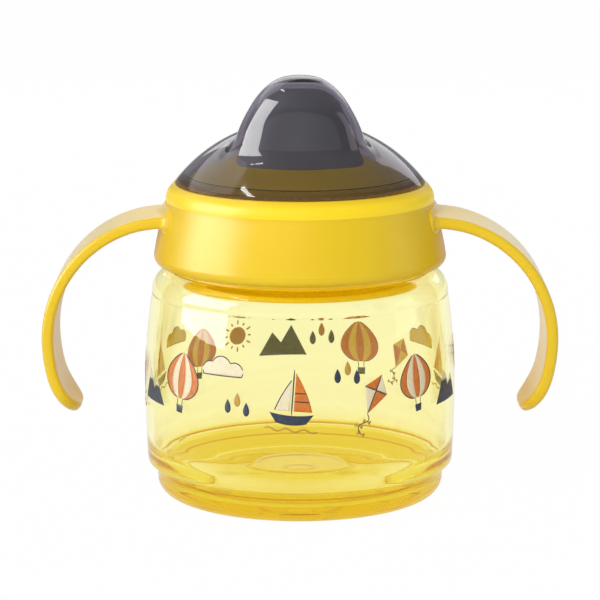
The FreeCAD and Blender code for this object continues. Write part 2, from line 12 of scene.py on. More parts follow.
import bmesh
import bpy
import numpy as np
from numpy.typing import NDArray
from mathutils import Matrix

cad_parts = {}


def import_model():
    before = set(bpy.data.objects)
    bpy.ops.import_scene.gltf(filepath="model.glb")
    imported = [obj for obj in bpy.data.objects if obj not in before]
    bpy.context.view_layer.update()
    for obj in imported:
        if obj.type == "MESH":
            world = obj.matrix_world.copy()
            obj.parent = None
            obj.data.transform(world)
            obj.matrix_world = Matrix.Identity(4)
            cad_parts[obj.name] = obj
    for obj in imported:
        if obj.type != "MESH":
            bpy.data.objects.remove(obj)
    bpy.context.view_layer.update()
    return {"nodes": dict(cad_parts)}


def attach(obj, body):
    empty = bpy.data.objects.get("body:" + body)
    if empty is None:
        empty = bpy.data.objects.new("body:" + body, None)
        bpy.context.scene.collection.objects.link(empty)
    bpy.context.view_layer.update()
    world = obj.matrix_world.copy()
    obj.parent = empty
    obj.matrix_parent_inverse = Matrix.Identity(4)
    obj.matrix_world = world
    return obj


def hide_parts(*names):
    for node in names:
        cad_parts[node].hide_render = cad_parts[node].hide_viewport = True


LOG = logging.getLogger("sippy_cup")
MM = 0.001
TURN = 2 * math.pi
SHARP_ANGLE = math.radians(32)
MERGE_GAP = 2e-6            # points that are closer, in metres, are one
FLAT_GAP = 2e-7             # edges that are shorter, in metres, are dropped
ON_WALL = 1e-6              # distance in millimetres at which a point lies on a wall
TINY = 1e-12                # keeps a division by a length from failing

Array = NDArray[np.float64]
Pair = tuple[float, float]
Triple = tuple[float, float, float]     # colour, scale, place, or a corner and the radius of its round
Piece = bpy.types.Object
Socket = bpy.types.NodeSocket
Value = Socket | str | float | tuple[float, ...]


class Body(Enum):
    """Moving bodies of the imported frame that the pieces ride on."""

    TUMBLER = "tumbler"
    SEAL = "seal"
    COLLAR = "collar"
    SPOUT = "spout"
    VALVE = "valve"
    CAP = "cap"


class Slot(Enum):
    """Material slots of the record."""

    BODY = "clear_body"
    COLLAR = "collar_plastic"
    SPOUT = "spout_silicone"
    VALVE = "valve_plastic"
    SEAL = "seal_silicone"
    CAP = "cap_plastic"


# ------------------------------------------------------------------ finishes
class Tree:
    """Node tree under construction, whose sockets take numbers or other nodes' results."""

    def __init__(self, tree: bpy.types.NodeTree) -> None:
        """Take up a tree.

        Args:
            tree: Node tree of a material or of a world.
        """
        self.nodes, self.links = tree.nodes, tree.links

    def put(self, socket: Socket, value: Value) -> None:
        """Link a result to a socket, or give it a fixed value.

        Args:
            socket: Input of a node.
            value: Result of another node, number, vector or linear colour.
        """
        if isinstance(value, Socket):
            self.links.new(value, socket)
        else:
            socket.default_value = (*value, 1.0) if socket.type == "RGBA" else value

    def add(self, kind: str, *values: Value, **named: Value) -> bpy.types.Node:
        """Add a shader node.

        Args:
            kind: Type of the node, without the words in front.
            *values: Values of its first inputs.
            **named: Values of inputs by name, with spaces written as underscores; a name in
                small letters is a setting of the node itself.

        Returns:
            The node.
        """
        node = self.nodes.new(f"ShaderNode{kind}")
        for name, value in named.items():
            if name.islower():
                setattr(node, name, value)
        for index, value in enumerate(values):
            self.put(node.inputs[index], value)
        for name, value in named.items():
            if not name.islower():
                self.put(node.inputs[name.replace("_", " ")], value)
        return node

    def highest(self, *values: Socket) -> Socket:
        """Largest of several values.

        Args:
            *values: Two or more results.

        Returns:
            The largest one.
        """
        total = values[0]
        for value in values[1:]:
            total = self.add("Math", total, value, operation="MAXIMUM").outputs[0]
        return total


class Shader(Tree):
    """A material under construction: a Principled shader with its own node tree."""

    def __init__(self, name: str) -> None:
        """Start a material.

        Args:
            name: Name of the material.
        """
        self.material = bpy.data.materials.new(name)
        self.material.use_nodes = True
        super().__init__(self.material.node_tree)
        self.principled = self.nodes["Principled BSDF"]
        self.output = self.nodes["Material Output"]
        self.place = self.nodes.new("ShaderNodeTexCoord").outputs["Object"]

    def set(self, **sockets: Value) -> None:
        """Give values to sockets of the Principled shader.

        Args:
            **sockets: Socket names with spaces written as underscores, and their values.
        """
        for name, value in sockets.items():
            self.put(self.principled.inputs[name.replace("_", " ")], value)

    def noise(self, size_mm: float, detail: float = 3.0, stretch: Triple = (1.0, 1.0, 1.0)) -> Socket:
        """Cloudy noise on object coordinates.

        Args:
            size_mm: Rough size of one blotch.
            detail: Octaves of finer noise.
            stretch: Scale of the pattern along X, Y and Z.

        Returns:
            The noise factor, from 0 to 1.
        """
        mapping = self.add("Mapping", Vector=self.place, Scale=stretch)
        return self.add("TexNoise", Vector=mapping.outputs["Vector"], Scale=1 / (size_mm * MM),
                        Detail=detail).outputs["Fac"]

    def ranged(self, value: Socket, low: float, high: float, start: float = 0.3, stop: float = 0.7) -> Socket:
        """Map part of a factor's range onto another range.

        Args:
            value: Factor to map.
            low: Result at the start of the range.
            high: Result at its stop.
            start: Factor that gives low.
            stop: Factor that gives high.

        Returns:
            The mapped value.
        """
        return self.add("MapRange", Value=value, From_Min=start, From_Max=stop, To_Min=low,
                        To_Max=high).outputs["Result"]

    def blended(self, factor: Socket, first: Triple, second: Triple) -> Socket:
        """Mix two colours by a factor.

        Args:
            factor: 0 gives the first colour and 1 the second.
            first: Linear colour.
            second: Linear colour.

        Returns:
            The mixed colour.
        """
        return self.add("Mix", data_type="RGBA", Factor=factor, A=first, B=second).outputs["Result"]

    def marked(self, attribute: str) -> Socket:
        """Number that a mesh carries at its points.

        Args:
            attribute: Name of the attribute.

        Returns:
            The number.
        """
        return self.add("Attribute", attribute_name=attribute).outputs["Fac"]

    def graded(self, factor: Socket, shades: tuple[Triple, ...]) -> Socket:
        """Colour that goes through evenly spaced shades.

        Args:
            factor: 0 gives the first shade and 1 the last.
            shades: Linear colours.

        Returns:
            The colour.
        """
        ramp = self.add("ValToRGB", Fac=factor)
        elements = ramp.color_ramp.elements
        while len(elements) < len(shades):
            elements.new(1.0)
        for place, (element, shade) in enumerate(zip(elements, shades)):
            element.position = place / (len(shades) - 1)
            element.color = (*shade, 1.0)
        return ramp.outputs["Color"]

    def open_to_lamps(self, color: Triple) -> None:
        """Let lamplight straight through the surface, as thin clear plastic does.

        Args:
            color: Tint that the light takes on.
        """
        rays = self.add("LightPath").outputs
        clear = self.add("BsdfTransparent", Color=color)
        mix = self.add("MixShader", self.highest(rays["Is Shadow Ray"], rays["Is Diffuse Ray"]),
                       self.principled.outputs[0], clear.outputs[0])
        self.links.new(mix.outputs[0], self.output.inputs["Surface"])

    def cloudy(self, first: Triple, second: Triple, cloud: Socket, roughness: Pair, gloss_mm: float) -> None:
        """Give the skin two colours in clouds, and a roughness that varies.

        Args:
            first: Linear colour.
            second: Linear colour.
            cloud: Where the second colour lies, from 0 to 1.
            roughness: Least and greatest roughness.
            gloss_mm: Rough size of a patch of even roughness.
        """
        self.set(Base_Color=self.blended(cloud, first, second),
                 Roughness=self.ranged(self.noise(gloss_mm), *roughness))

    def bump(self, height: Socket, depth_mm: float) -> None:
        """Raise the surface by a height field.

        Args:
            height: Factor from 0 to 1.
            depth_mm: Height of factor 1.
        """
        self.set(Normal=self.add("Bump", Distance=depth_mm * MM, Height=height).outputs["Normal"])


@dataclass(frozen=True)
class ClearPlastic:
    """See-through moulded plastic, whose tint deepens with its thickness."""

    name: str
    tint: Triple                # colour that the plastic lets through
    density: float              # absorption per metre of the colours it stops
    lamplight: Triple           # colour of the lamplight that passes its skin
    shades: tuple[Triple, ...] = ()     # skin colours where the mesh's tint goes from 0 to 1
    skin: Triple = (1.0, 1.0, 1.0)      # skin colour of a mesh without such a tint
    ior: float = 1.49
    specular: float = 0.5
    roughness: Pair = (0.01, 0.035)
    gloss_mm: float = 5.0       # size of a patch of even roughness
    ripple_mm: float = 0.012    # height of the moulding's slow ripples
    ripple_size_mm: float = 14.0

    def make(self) -> bpy.types.Material:
        """Build the material.

        Returns:
            The material.
        """
        shader = Shader(self.name)
        skin = shader.graded(shader.marked("tint"), self.shades) if self.shades else self.skin
        shader.set(Base_Color=skin, Transmission_Weight=1.0, IOR=self.ior, Specular_IOR_Level=self.specular,
                   Roughness=shader.ranged(shader.noise(self.gloss_mm), *self.roughness))
        shader.bump(shader.noise(self.ripple_size_mm, 1.0), self.ripple_mm)
        absorb = shader.add("VolumeAbsorption", Color=self.tint, Density=self.density)
        shader.links.new(absorb.outputs["Volume"], shader.output.inputs["Volume"])
        shader.open_to_lamps(self.lamplight)
        return shader.material


@dataclass(frozen=True)
class GlossPlastic:
    """Opaque moulded plastic with a polished skin and slight flow marks."""

    name: str
    color: Triple
    shade: Triple               # colour of the faint flow marks
    roughness: Pair = (0.2, 0.3)
    glow: float = 0.0           # strength of a painted glow on marked inner faces: emission in place of light that comes through the wall
    painted_glow_color: Triple = (0.8, 0.66, 0.0)
    specular: float = 0.5
    sheen: float = 0.0          # pale bloom where the skin is seen at a slant
    sheen_roughness: float = 0.4
    flow_mm: float = 22.0       # size of a flow mark, which is drawn out upwards
    flow_stretch: Triple = (1.0, 1.0, 0.5)
    gloss_mm: float = 3.5       # size of a patch of even roughness
    grain_size_mm: float = 2.4
    grain_mm: float = 0.002     # height of the grain

    def make(self) -> bpy.types.Material:
        """Build the material.

        Returns:
            The material.
        """
        shader = Shader(self.name)
        shader.set(IOR=1.5, Specular_IOR_Level=self.specular, Sheen_Weight=self.sheen,
                   Sheen_Roughness=self.sheen_roughness)
        # Painted glow: emission on the inner faces that the mesh marks, standing in for light that comes
        # through the wall.
        if self.glow:
            strength = shader.ranged(shader.marked("inside"), 0.0, self.glow, 0.0, 1.0)
            shader.set(Emission_Color=self.painted_glow_color, Emission_Strength=strength)
        flow = shader.ranged(shader.noise(self.flow_mm, 2.0, self.flow_stretch), 0.0, 1.0)
        shader.cloudy(self.color, self.shade, flow, self.roughness, self.gloss_mm)
        shader.bump(shader.noise(self.grain_size_mm, 1.0), self.grain_mm)
        return shader.material


@dataclass(frozen=True)
class Silicone:
    """Soft silicone: satin, a little see-through, with a fine dusty skin."""

    name: str
    color: Triple
    shade: Triple
    roughness: Pair = (0.42, 0.56)
    glow: float = 0.15          # share of the light that scatters under the skin
    glow_mm: float = 1.2        # how far it scatters
    dust: float = 0.08
    cloud_mm: float = 6.0       # size of a cloud of the second shade
    gloss_mm: float = 1.2       # size of a patch of even roughness
    grain_size_mm: float = 0.35
    grain_mm: float = 0.006     # height of the grain

    def make(self) -> bpy.types.Material:
        """Build the material.

        Returns:
            The material.
        """
        shader = Shader(self.name)
        shader.set(IOR=1.41, Subsurface_Weight=self.glow, Subsurface_Radius=(1.0, 1.0, 1.0),
                   Subsurface_Scale=self.glow_mm * MM, Sheen_Weight=self.dust)
        cloud = shader.ranged(shader.noise(self.cloud_mm), 0.0, 1.0)
        shader.cloudy(self.color, self.shade, cloud, self.roughness, self.gloss_mm)
        shader.bump(shader.noise(self.grain_size_mm, 2.0), self.grain_mm)
        return shader.material


@dataclass(frozen=True)
class Ink:
    """Printed ink with the slightly uneven cover of a small print."""

    name: str
    color: Triple
    thin: Triple                # colour where the ink lies thinner
    roughness: Pair = (0.45, 0.6)
    cover: Pair = (0.45, 0.62)  # part of the noise's range over which the ink thins
    cover_mm: float = 0.9       # size of a thin spot
    gloss_mm: float = 1.5       # size of a patch of even roughness
    grain_size_mm: float = 0.5
    grain_mm: float = 0.01      # height of the grain

    def make(self) -> bpy.types.Material:
        """Build the material.

        Returns:
            The material.
        """
        shader = Shader(self.name)
        shader.set(IOR=1.45)
        cover = shader.ranged(shader.noise(self.cover_mm, 4.0), 0.0, 1.0, *self.cover)
        shader.cloudy(self.color, self.thin, cover, self.roughness, self.gloss_mm)
        shader.bump(shader.noise(self.grain_size_mm), self.grain_mm)
        return shader.material


# The deeper shades, towards GOLD and AMBER, are painted tint that stands in for light carried through thick
# plastic at the foot and floor.
PRIMROSE, STRAW, HONEY = (1.0, 0.985, 0.79), (0.99, 0.955, 0.68), (0.98, 0.915, 0.57)
GOLD, AMBER = (0.87, 0.70, 0.03), (0.83, 0.62, 0.02)
CLEAR_YELLOW = ClearPlastic("clear yellow plastic", (0.995, 0.965, 0.25), 85.0, (0.99, 0.93, 0.7),
                            (PRIMROSE, STRAW, HONEY, GOLD, AMBER), ior=1.43, specular=0.9)
SMOKY = ClearPlastic("smoky clear plastic", (0.09, 0.07, 0.12), 340.0, (0.97, 0.97, 0.97), specular=0.9,
                     skin=(0.59, 0.55, 0.64), roughness=(0.04, 0.07), ripple_mm=0.006)
# The collar's glow is a painted glow on its marked inner faces, in place of light that comes through the
# wall.
YELLOW = GlossPlastic("gloss yellow plastic", (0.86, 0.59, 0.018), (0.84, 0.565, 0.015), (0.3, 0.38),
                      glow=0.24, specular=0.3)
STRAP_YELLOW = GlossPlastic("glossy yellow strap", YELLOW.color, YELLOW.shade, (0.3, 0.38),
                            specular=0.3, sheen=0.6)
GREY_SILICONE = Silicone("grey silicone", (0.232, 0.243, 0.238), (0.213, 0.223, 0.220))
PALE_SILICONE = Silicone("milky silicone", (0.74, 0.74, 0.70), (0.68, 0.68, 0.65), glow=0.4)
WHITE = GlossPlastic("white valve plastic", (0.76, 0.76, 0.73), (0.73, 0.73, 0.70), (0.35, 0.45))


# ------------------------------------------------------------------ surfaces
def mesh_object(name: str, points: Array, faces: list[NDArray[np.int64]]) -> Piece:
    """Make an object from points and faces, smooth but for its sharp edges.

    The signed volume, a sum of triple products, tells whether the faces point inwards, and a
    closed surface that does is turned round.

    Args:
        name: Name of the piece.
        points: Points in millimetres, one a row.
        faces: Arrays of corner numbers, each with one face a row.

    Returns:
        The object, at the origin of the scene.
    """
    fans = np.concatenate([
        np.stack([np.repeat(block[:, :1], block.shape[1] - 2, 1), block[:, 1:-1], block[:, 2:]], -1)
        .reshape(-1, 3) for block in faces])
    a, b, c = (points[fans[:, k]] for k in range(3))
    inside_out = np.einsum("ij,ij->i", a, np.cross(b, c)).sum() < 0
    turned = [block[:, ::-1] if inside_out else block for block in faces]
    corners = np.concatenate([block.ravel() for block in turned])
    sizes = np.concatenate([np.full(len(block), block.shape[1]) for block in turned])
    mesh = bpy.data.meshes.new(name)
    mesh.vertices.add(len(points))
    mesh.vertices.foreach_set("co", (points * MM).ravel())
    mesh.loops.add(len(corners))
    mesh.loops.foreach_set("vertex_index", corners)
    mesh.polygons.add(len(sizes))
    mesh.polygons.foreach_set("loop_start", np.concatenate([[0], np.cumsum(sizes)[:-1]]))
    mesh.update(calc_edges=True)
    mesh.validate()
    piece = bpy.data.objects.new(name, mesh)
    bpy.context.scene.collection.objects.link(piece)
    soften(piece)
    return piece


def mark(piece: Piece, name: str, values: Array) -> None:
    """Write a number for each point into an attribute that a material reads.

    Args:
        piece: Object with a mesh.
        name: Name of the attribute.
        values: One number for each point.
    """
    piece.data.attributes.new(name, "FLOAT", "POINT").data.foreach_set("value", values.astype(np.float32))


def heights(piece: Piece) -> tuple[Array, Array]:
    """Distances of a piece's points from the cup's axis, and their heights.

    Args:
        piece: Object with a mesh.

    Returns:
        Distances and heights in millimetres.
    """
    place = np.empty(3 * len(piece.data.vertices))
    piece.data.vertices.foreach_get("co", place)
    x, y, z = place.reshape(-1, 3).T / MM
    return np.hypot(x, y), z


def soften(piece: Piece, angle: float = SHARP_ANGLE) -> None:
    """Shade a piece smooth, and keep edges sharper than an angle crisp.

    Args:
        piece: Object with a mesh.
        angle: Largest turn across an edge that still counts as smooth, in radians.
    """
    piece.data.shade_smooth()
    piece.data.set_sharp_from_angle(angle=angle)


def grid_faces(rows: int, columns: int, wrap_rows: bool, wrap_columns: bool) -> NDArray[np.int64]:
    """Quads that join neighbouring points of a grid.

    Args:
        rows: Number of rows.
        columns: Number of columns.
        wrap_rows: Join the last row to the first.
        wrap_columns: Join the last column to the first.

    Returns:
        Four corner numbers for each quad.
    """
    i, j = np.indices((rows - (not wrap_rows), columns - (not wrap_columns))).reshape(2, -1)
    above, beside = (i + 1) % rows, (j + 1) % columns
    return np.stack([i * columns + j, i * columns + beside, above * columns + beside, above * columns + j], 1)


def grid_object(name: str, grid: Array, wrap_rows: bool = False, wrap_columns: bool = True,
                poles: bool = False) -> Piece:
    """Make a piece from a grid of points, closed at poles or along seams.

    Args:
        name: Name of the piece.
        grid: Points in millimetres, as rows by columns by three.
        wrap_rows: Join the last row to the first.
        wrap_columns: Join the last column to the first.
        poles: Close both ends with a fan to the mean of the first and of the last row.

    Returns:
        The object.
    """
    rows, columns = grid.shape[:2]
    points = grid.reshape(-1, 3)
    faces = [grid_faces(rows, columns, wrap_rows, wrap_columns)]
    if poles:
        first, last = rows * columns, rows * columns + 1
        points = np.concatenate([points, grid[:1].mean(1), grid[-1:].mean(1)])
        here = np.arange(columns)
        on = (here + 1) % columns
        start = (rows - 1) * columns
        faces.append(np.stack([on, here, np.full(columns, first)], 1))
        faces.append(np.stack([start + here, start + on, np.full(columns, last)], 1))
    return mesh_object(name, points, faces)


def tidy(piece: Piece, close: bool = False) -> Piece:
    """Merge points that coincide, and on request close what is left open.

    Args:
        piece: Object whose mesh is changed.
        close: Fill open ends, such as the hidden root of a handle.

    Returns:
        The same object.
    """
    work = bmesh.new()
    work.from_mesh(piece.data)
    bmesh.ops.remove_doubles(work, verts=work.verts, dist=MERGE_GAP)
    bmesh.ops.dissolve_degenerate(work, edges=work.edges, dist=FLAT_GAP)
    if close:
        bmesh.ops.holes_fill(work, edges=[edge for edge in work.edges if edge.is_boundary], sides=0)
        bmesh.ops.recalc_face_normals(work, faces=work.faces)
    work.to_mesh(piece.data)
    work.free()
    soften(piece)
    return piece


def carve(piece: Piece, cutters: list[Piece]) -> Piece:
    """Cut shapes out of a piece, for holes that no grid line follows.

    Args:
        piece: Object that is cut.
        cutters: Closed objects, which are used up.

    Returns:
        The cut object.
    """
    for cutter in cutters:
        step = piece.modifiers.new("cut", "BOOLEAN")
        step.operation = "DIFFERENCE"
        step.solver = "EXACT"
        step.object = cutter
    depsgraph = bpy.context.evaluated_depsgraph_get()
    cut = bpy.data.meshes.new_from_object(piece.evaluated_get(depsgraph))
    piece.modifiers.clear()
    piece.data = cut
    for cutter in cutters:
        bpy.data.objects.remove(cutter)
    soften(piece)
    return piece


def rounded(corners: Sequence[Triple], steps: int = 7, closed: bool = False) -> Array:
    """Line through corners, each replaced by an arc tangent to its two sides.

    The arc's points are a turning mix of its first and last spoke, sin((1-t)a) and sin(ta) parts
    of them over sin(a).

    Args:
        corners: (x, y, radius) of each corner. A radius of 0 keeps it sharp.
        steps: Number of points on each arc.
        closed: Join the last corner to the first.

    Returns:
        Points of the line, as (x, y) rows.
    """
    least_half, least_sweep, least_gap = 1e-3, 1e-6, 1e-5
    data = np.array(corners, float)
    here, radius = data[:, :2], data[:, 2:3]
    back = np.roll(here, 1, 0) - here
    on = np.roll(here, -1, 0) - here
    back /= np.linalg.norm(back, axis=1, keepdims=True) + TINY
    on /= np.linalg.norm(on, axis=1, keepdims=True) + TINY
    half = np.arccos(np.clip((back * on).sum(1, keepdims=True), -1, 1)) / 2
    if not closed:
        radius = radius.copy()
        radius[[0, -1]] = 0
    safe_half = np.clip(half, least_half, None)
    reach = radius / np.tan(safe_half)
    middle = back + on
    middle /= np.linalg.norm(middle, axis=1, keepdims=True) + TINY
    centre = here + middle * radius / np.sin(safe_half)
    first, last = here + back * reach - centre, here + on * reach - centre
    sweep = np.clip(math.pi - 2 * half, least_sweep, None)[:, None]
    t = np.linspace(0, 1, steps)[None, :, None]
    spokes = np.sin((1 - t) * sweep) * first[:, None] + np.sin(t * sweep) * last[:, None]
    line = (centre[:, None] + spokes / np.sin(sweep)).reshape(-1, 2)
    keep = np.ones(len(line), bool)
    keep[1:] = np.linalg.norm(np.diff(line, axis=0), axis=1) > least_gap
    return line[keep]


def bowed(start: Pair, stop: Pair, bow: float, steps: int) -> Array:
    """Arc between two points, bowed to the right of the way from start to stop.

    The offset is a parabola, 4t(1-t) times the bow, across the straight line.

    Args:
        start: First point.
        stop: Last point.
        bow: Height of the bow.
        steps: Number of points.

    Returns:
        Points of the arc, as (x, y) rows.
    """
    a, b = np.array(start, float), np.array(stop, float)
    t = np.linspace(0, 1, steps)[:, None]
    along = (b - a) / np.linalg.norm(b - a)
    return a + (b - a) * t + np.array([along[1], -along[0]]) * 4 * t * (1 - t) * bow


def finer(line: Array, step: float) -> Array:
    """Add points along a line so that none are further apart than a step.

    Args:
        line: (x, y) rows.
        step: Largest distance between neighbours.

    Returns:
        The line with more points, its own among them.
    """
    gaps = np.linalg.norm(np.diff(line, axis=0), axis=1)
    counts = np.maximum(1, np.ceil(gaps / step).astype(int))
    owner = np.repeat(np.arange(len(gaps)), counts)
    share = (np.arange(len(owner)) - np.repeat(np.cumsum(counts) - counts, counts)) / counts[owner]
    return np.concatenate([line[owner] + (line[owner + 1] - line[owner]) * share[:, None], line[-1:]])


def refined(line: Array, chosen: NDArray[np.bool_], step: float) -> Array:
    """Make the stretch between the first and the last chosen point of a line finer.

    Args:
        line: (x, y) rows.
        chosen: Whether each point is chosen.
        step: Largest distance between neighbours on that stretch.

    Returns:
        The line with more points.
    """
    first, last = np.flatnonzero(chosen)[[0, -1]]
    return np.concatenate([line[:first], finer(line[first:last + 1], step), line[last + 1:]])


def turned_grid(profile: Array, columns: int, x: float = 0.0, y: float = 0.0) -> Array:
    """Grid of a profile turned about an upright axis: (r cos a, r sin a, z).

    Args:
        profile: (radius, height) rows.
        columns: Number of steps round the turn.
        x: Place of the axis.
        y: Place of the axis.

    Returns:
        Points as rows by columns by three.
    """
    angle = np.arange(columns) / columns * TURN
    radius, height = profile[:, :1], profile[:, 1:]
    return np.stack([x + radius * np.cos(angle), y + radius * np.sin(angle), height + 0 * angle], -1)


def dome_height(radius: Array, edge: float, edge_z: float, rise: float, inset: float = 0.0) -> Array:
    """Height of a round dome over a distance from its axis: a ball's cap, made smaller by an inset.

    Args:
        radius: Distances from the axis.
        edge: Radius of the dome's edge.
        edge_z: Height of that edge.
        rise: Height of the crown above it.
        inset: Amount by which the ball is smaller.

    Returns:
        Heights.
    """
    ball = (edge ** 2 + rise ** 2) / (2 * rise)
    return edge_z + rise - ball + np.sqrt(np.clip((ball - inset) ** 2 - radius ** 2, 0, None))


def finish_piece(piece: Piece, body: Body, slot: Slot, material: bpy.types.Material,
                 *nodes: str) -> Piece:
    """Dress a piece, put it on its body and hide the nodes that it stands for.

    Args:
        piece: The object.
        body: Body that carries it.
        slot: Material slot of the record; not used.
        material: Its material.
        *nodes: CAD nodes that the piece replaces.

    Returns:
        The same object.
    """
    piece.data.materials.clear()
    piece.data.materials.append(material)
    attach(piece, body.value)
    if nodes:
        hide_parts(*nodes)
    LOG.info("%s: %d faces on %s", piece.name, len(piece.data.polygons), body.value)
    return piece


# ------------------------------------------------------------------ screw thread
@dataclass(frozen=True)
class Thread:
    """Right-handed screw thread with several starts, raised on or into an upright wall."""

    lead: float = 12.0
    starts: int = 3
    width: float = 1.0          # width of a ridge's crest
    flank: float = 0.7          # width of its sloping side
    height: float = 1.0
    bottom: float = 60.6
    top: float = 69.6
    fade: float = 1.2           # length over which the ridges run out at both ends
    phase: float = 0.0          # share of the pitch by which the ridges are shifted

    def relief(self, angle: Array, z: Array) -> Array:
        """Height of the ridges: a trapezium across the distance to the nearest helix.

        The helix is z = lead * angle / turn, so that distance is the pitch times what is left
        of (z / lead - angle / turn) * starts over whole numbers.

        Args:
            angle: Angles round the axis.
            z: Heights.

        Returns:
            Relief in millimetres.
        """
        turns = (z / self.lead - angle / TURN) * self.starts + self.phase
        apart = np.abs(turns - np.round(turns)) * self.lead / self.starts
        ridge = np.clip((self.width / 2 + self.flank - apart) / self.flank, 0, 1)
        ends = np.clip((z - self.bottom) / self.fade, 0, 1) * np.clip((self.top - z) / self.fade, 0, 1)
        return self.height * ridge * ends

    def raise_on(self, grid: Array, wall: float, way: int) -> None:
        """Raise the ridges on the points of a turned grid that lie on a wall, or sink them.

        Args:
            grid: Points as rows by columns by three, which are moved.
            wall: Radius of the wall.
            way: 1 raises the ridges outwards and -1 moves them inwards.
        """
        angle = np.arctan2(grid[..., 1], grid[..., 0])
        radius = np.hypot(grid[..., 0], grid[..., 1])
        relief = np.where(np.abs(radius - wall) < ON_WALL, self.relief(angle, grid[..., 2]), 0)
        grid[..., :2] *= (1 + way * relief / radius)[..., None]


# ------------------------------------------------------------------ tumbler
@dataclass
class Tumbler:
    """Clear tumbler: barrelled wall, stacking ledge, hollow foot, shoulder and screwed neck."""

    widest: float = 39.25
    widest_z: float = 27.0
    wall: float = 1.9
    ledge_inset: float = 0.6
    ledge_z: float = 8.0
    ledge_top: float = 10.5
    shoulder_inset: float = 1.95
    shoulder_z: float = 57.3
    shoulder_round: float = 5.5
    foot: float = 36.25
    foot_round: float = 4.0
    foot_ring: float = 30.25
    recess_inset: float = 0.8   # how far the recess under the floor lies inside the foot's ring
    neck: float = 32.4
    lip: float = 31.6
    lip_z: float = 70.5
    neck_bore: float = 30.2
    top: float = 75.0
    inner_bend: Pair = (15.9, 12.8)     # heights between which the inner wall turns in
    gutter: Pair = (7.4, 3.8)           # height of the inner foot's top, and of its bottom
    underside: tuple[Triple, ...] = (   # radius, height and round, from the moulding's gate outwards
        (0, 4.4, 0), (3.5, 4.4, 0), (3.7, 3.9, 0.15), (4.4, 3.9, 0.15), (4.6, 4.4, 0), (12.4, 4.4, 1.0),
        (13.8, 3.5, 2.0))
    floor: tuple[Triple, ...] = ((13.8, 5.4, 2.0), (12.4, 6.3, 1.0), (0, 6.3, 0))
    recess_z: float = 1.9
    seam: float = 0.1           # gap between the rounds' points and those of the wall
    side_rows: int = 40
    thread_step: float = 0.3    # largest height of a row on the neck
    columns: int = 288
    # The three tints below are painted: they deepen the skin towards the foot and in the floor's middle, in
    # place of light carried through long paths of plastic.
    wall_painted_tint: tuple[Pair, ...] = (     # height and tint
        (9.0, 0.55), (13.0, 0.2), (30.0, 0.12), (50.0, 0.0))
    floor_painted_tint: tuple[Pair, ...] = (    # radius and tint
        (12.0, 1.0), (15.0, 0.8), (24.0, 0.38), (29.0, 0.5), (31.5, 0.9))
    floor_top: float = 7.5      # the floor's tint counts below this height
    foot_painted_tint: Pair = (1.2, 8.5)        # tops of the full tint: everywhere, and on the outside
    thread: Thread = field(default_factory=Thread)

    def wall_radius(self, z: Array, inset: float = 0.0) -> Array:
        """Outer radius of the barrelled wall: two parabolas that meet at the widest ring.

        Args:
            z: Heights.
            inset: Amount by which the wall's form is smaller.

        Returns:
            Radii.
        """
        low = (self.widest_z - z) / (self.widest_z - self.ledge_z)
        high = (z - self.widest_z) / (self.shoulder_z - self.shoulder_round - self.widest_z)
        slimmer = np.where(z < self.widest_z, self.ledge_inset * low ** 2, self.shoulder_inset * high ** 2)
        return self.widest - slimmer - inset

    def radius_at(self, z: float, inset: float = 0.0) -> float:
        """Outer radius of the barrelled wall at one height."""
        return float(self.wall_radius(np.array(z), inset))

    def side(self, inset: float, bottom: float, top: float) -> Array:
        """Line of the barrelled wall between two heights, upwards.

        Args:
            inset: Amount by which the wall's form is smaller.
            bottom: Lowest height.
            top: Highest height.

        Returns:
            (radius, height) rows.
        """
        z = np.linspace(bottom, top, self.side_rows)
        return np.stack([self.wall_radius(z, inset), z], 1)

    def profile(self) -> Array:
        """Half section of the tumbler, from the middle of its underside to the middle of its floor.

        Returns:
            (radius, height) rows.
        """
        bend_z = self.shoulder_z - self.shoulder_round
        inner_top = self.shoulder_z - self.wall
        inner_round = self.shoulder_round - self.wall / 2
        inner_bend_z = inner_top - inner_round
        recess = self.foot_ring - self.recess_inset
        inner_foot = self.foot - self.wall
        low = self.radius_at(16.0, self.wall)
        high, inner_high = self.radius_at(bend_z), self.radius_at(inner_bend_z, self.wall)
        gutter_top, gutter_z = self.gutter
        under = rounded([*self.underside, (recess, self.recess_z, 0.8), (self.foot_ring, 0, 0.5),
                         (self.foot, 0, self.foot_round), (self.foot, self.ledge_z, 0.6)], 10)
        ledge = rounded([(self.foot, self.ledge_z, 0), (self.radius_at(self.ledge_z), self.ledge_z, 0.9),
                         (self.radius_at(self.ledge_top), self.ledge_top, 0)])
        shoulder = rounded([(high, bend_z - 0.01, 0), (high, self.shoulder_z, self.shoulder_round - 0.6),
                            (self.neck, self.shoulder_z, 0.5), (self.neck, self.lip_z, 0)], 16)
        neck = rounded([(self.neck, self.lip_z, 0), (self.lip, self.lip_z + 0.6, 0.3),
                        (self.lip, self.top, 0.6), (self.neck_bore, self.top, 0.6),
                        (self.neck_bore, inner_top, 0.5), (inner_high, inner_top, inner_round - 0.1),
                        (inner_high, inner_bend_z - 0.01, 0)], 14)
        floor = rounded([(low, self.inner_bend[0], 0), (low - 0.05, self.inner_bend[1], 9.0),
                         (inner_foot, gutter_top, 7.0), (inner_foot, gutter_z, 2.4), (recess, gutter_z, 1.5),
                         *self.floor], 12)
        outside = self.side(0.0, self.ledge_top + self.seam, bend_z - self.seam)
        inside = self.side(self.wall, self.inner_bend[0] + self.seam, inner_bend_z - self.seam)[::-1]
        return np.concatenate([under[:-1], ledge, outside, shoulder[:-1], neck, inside, floor])

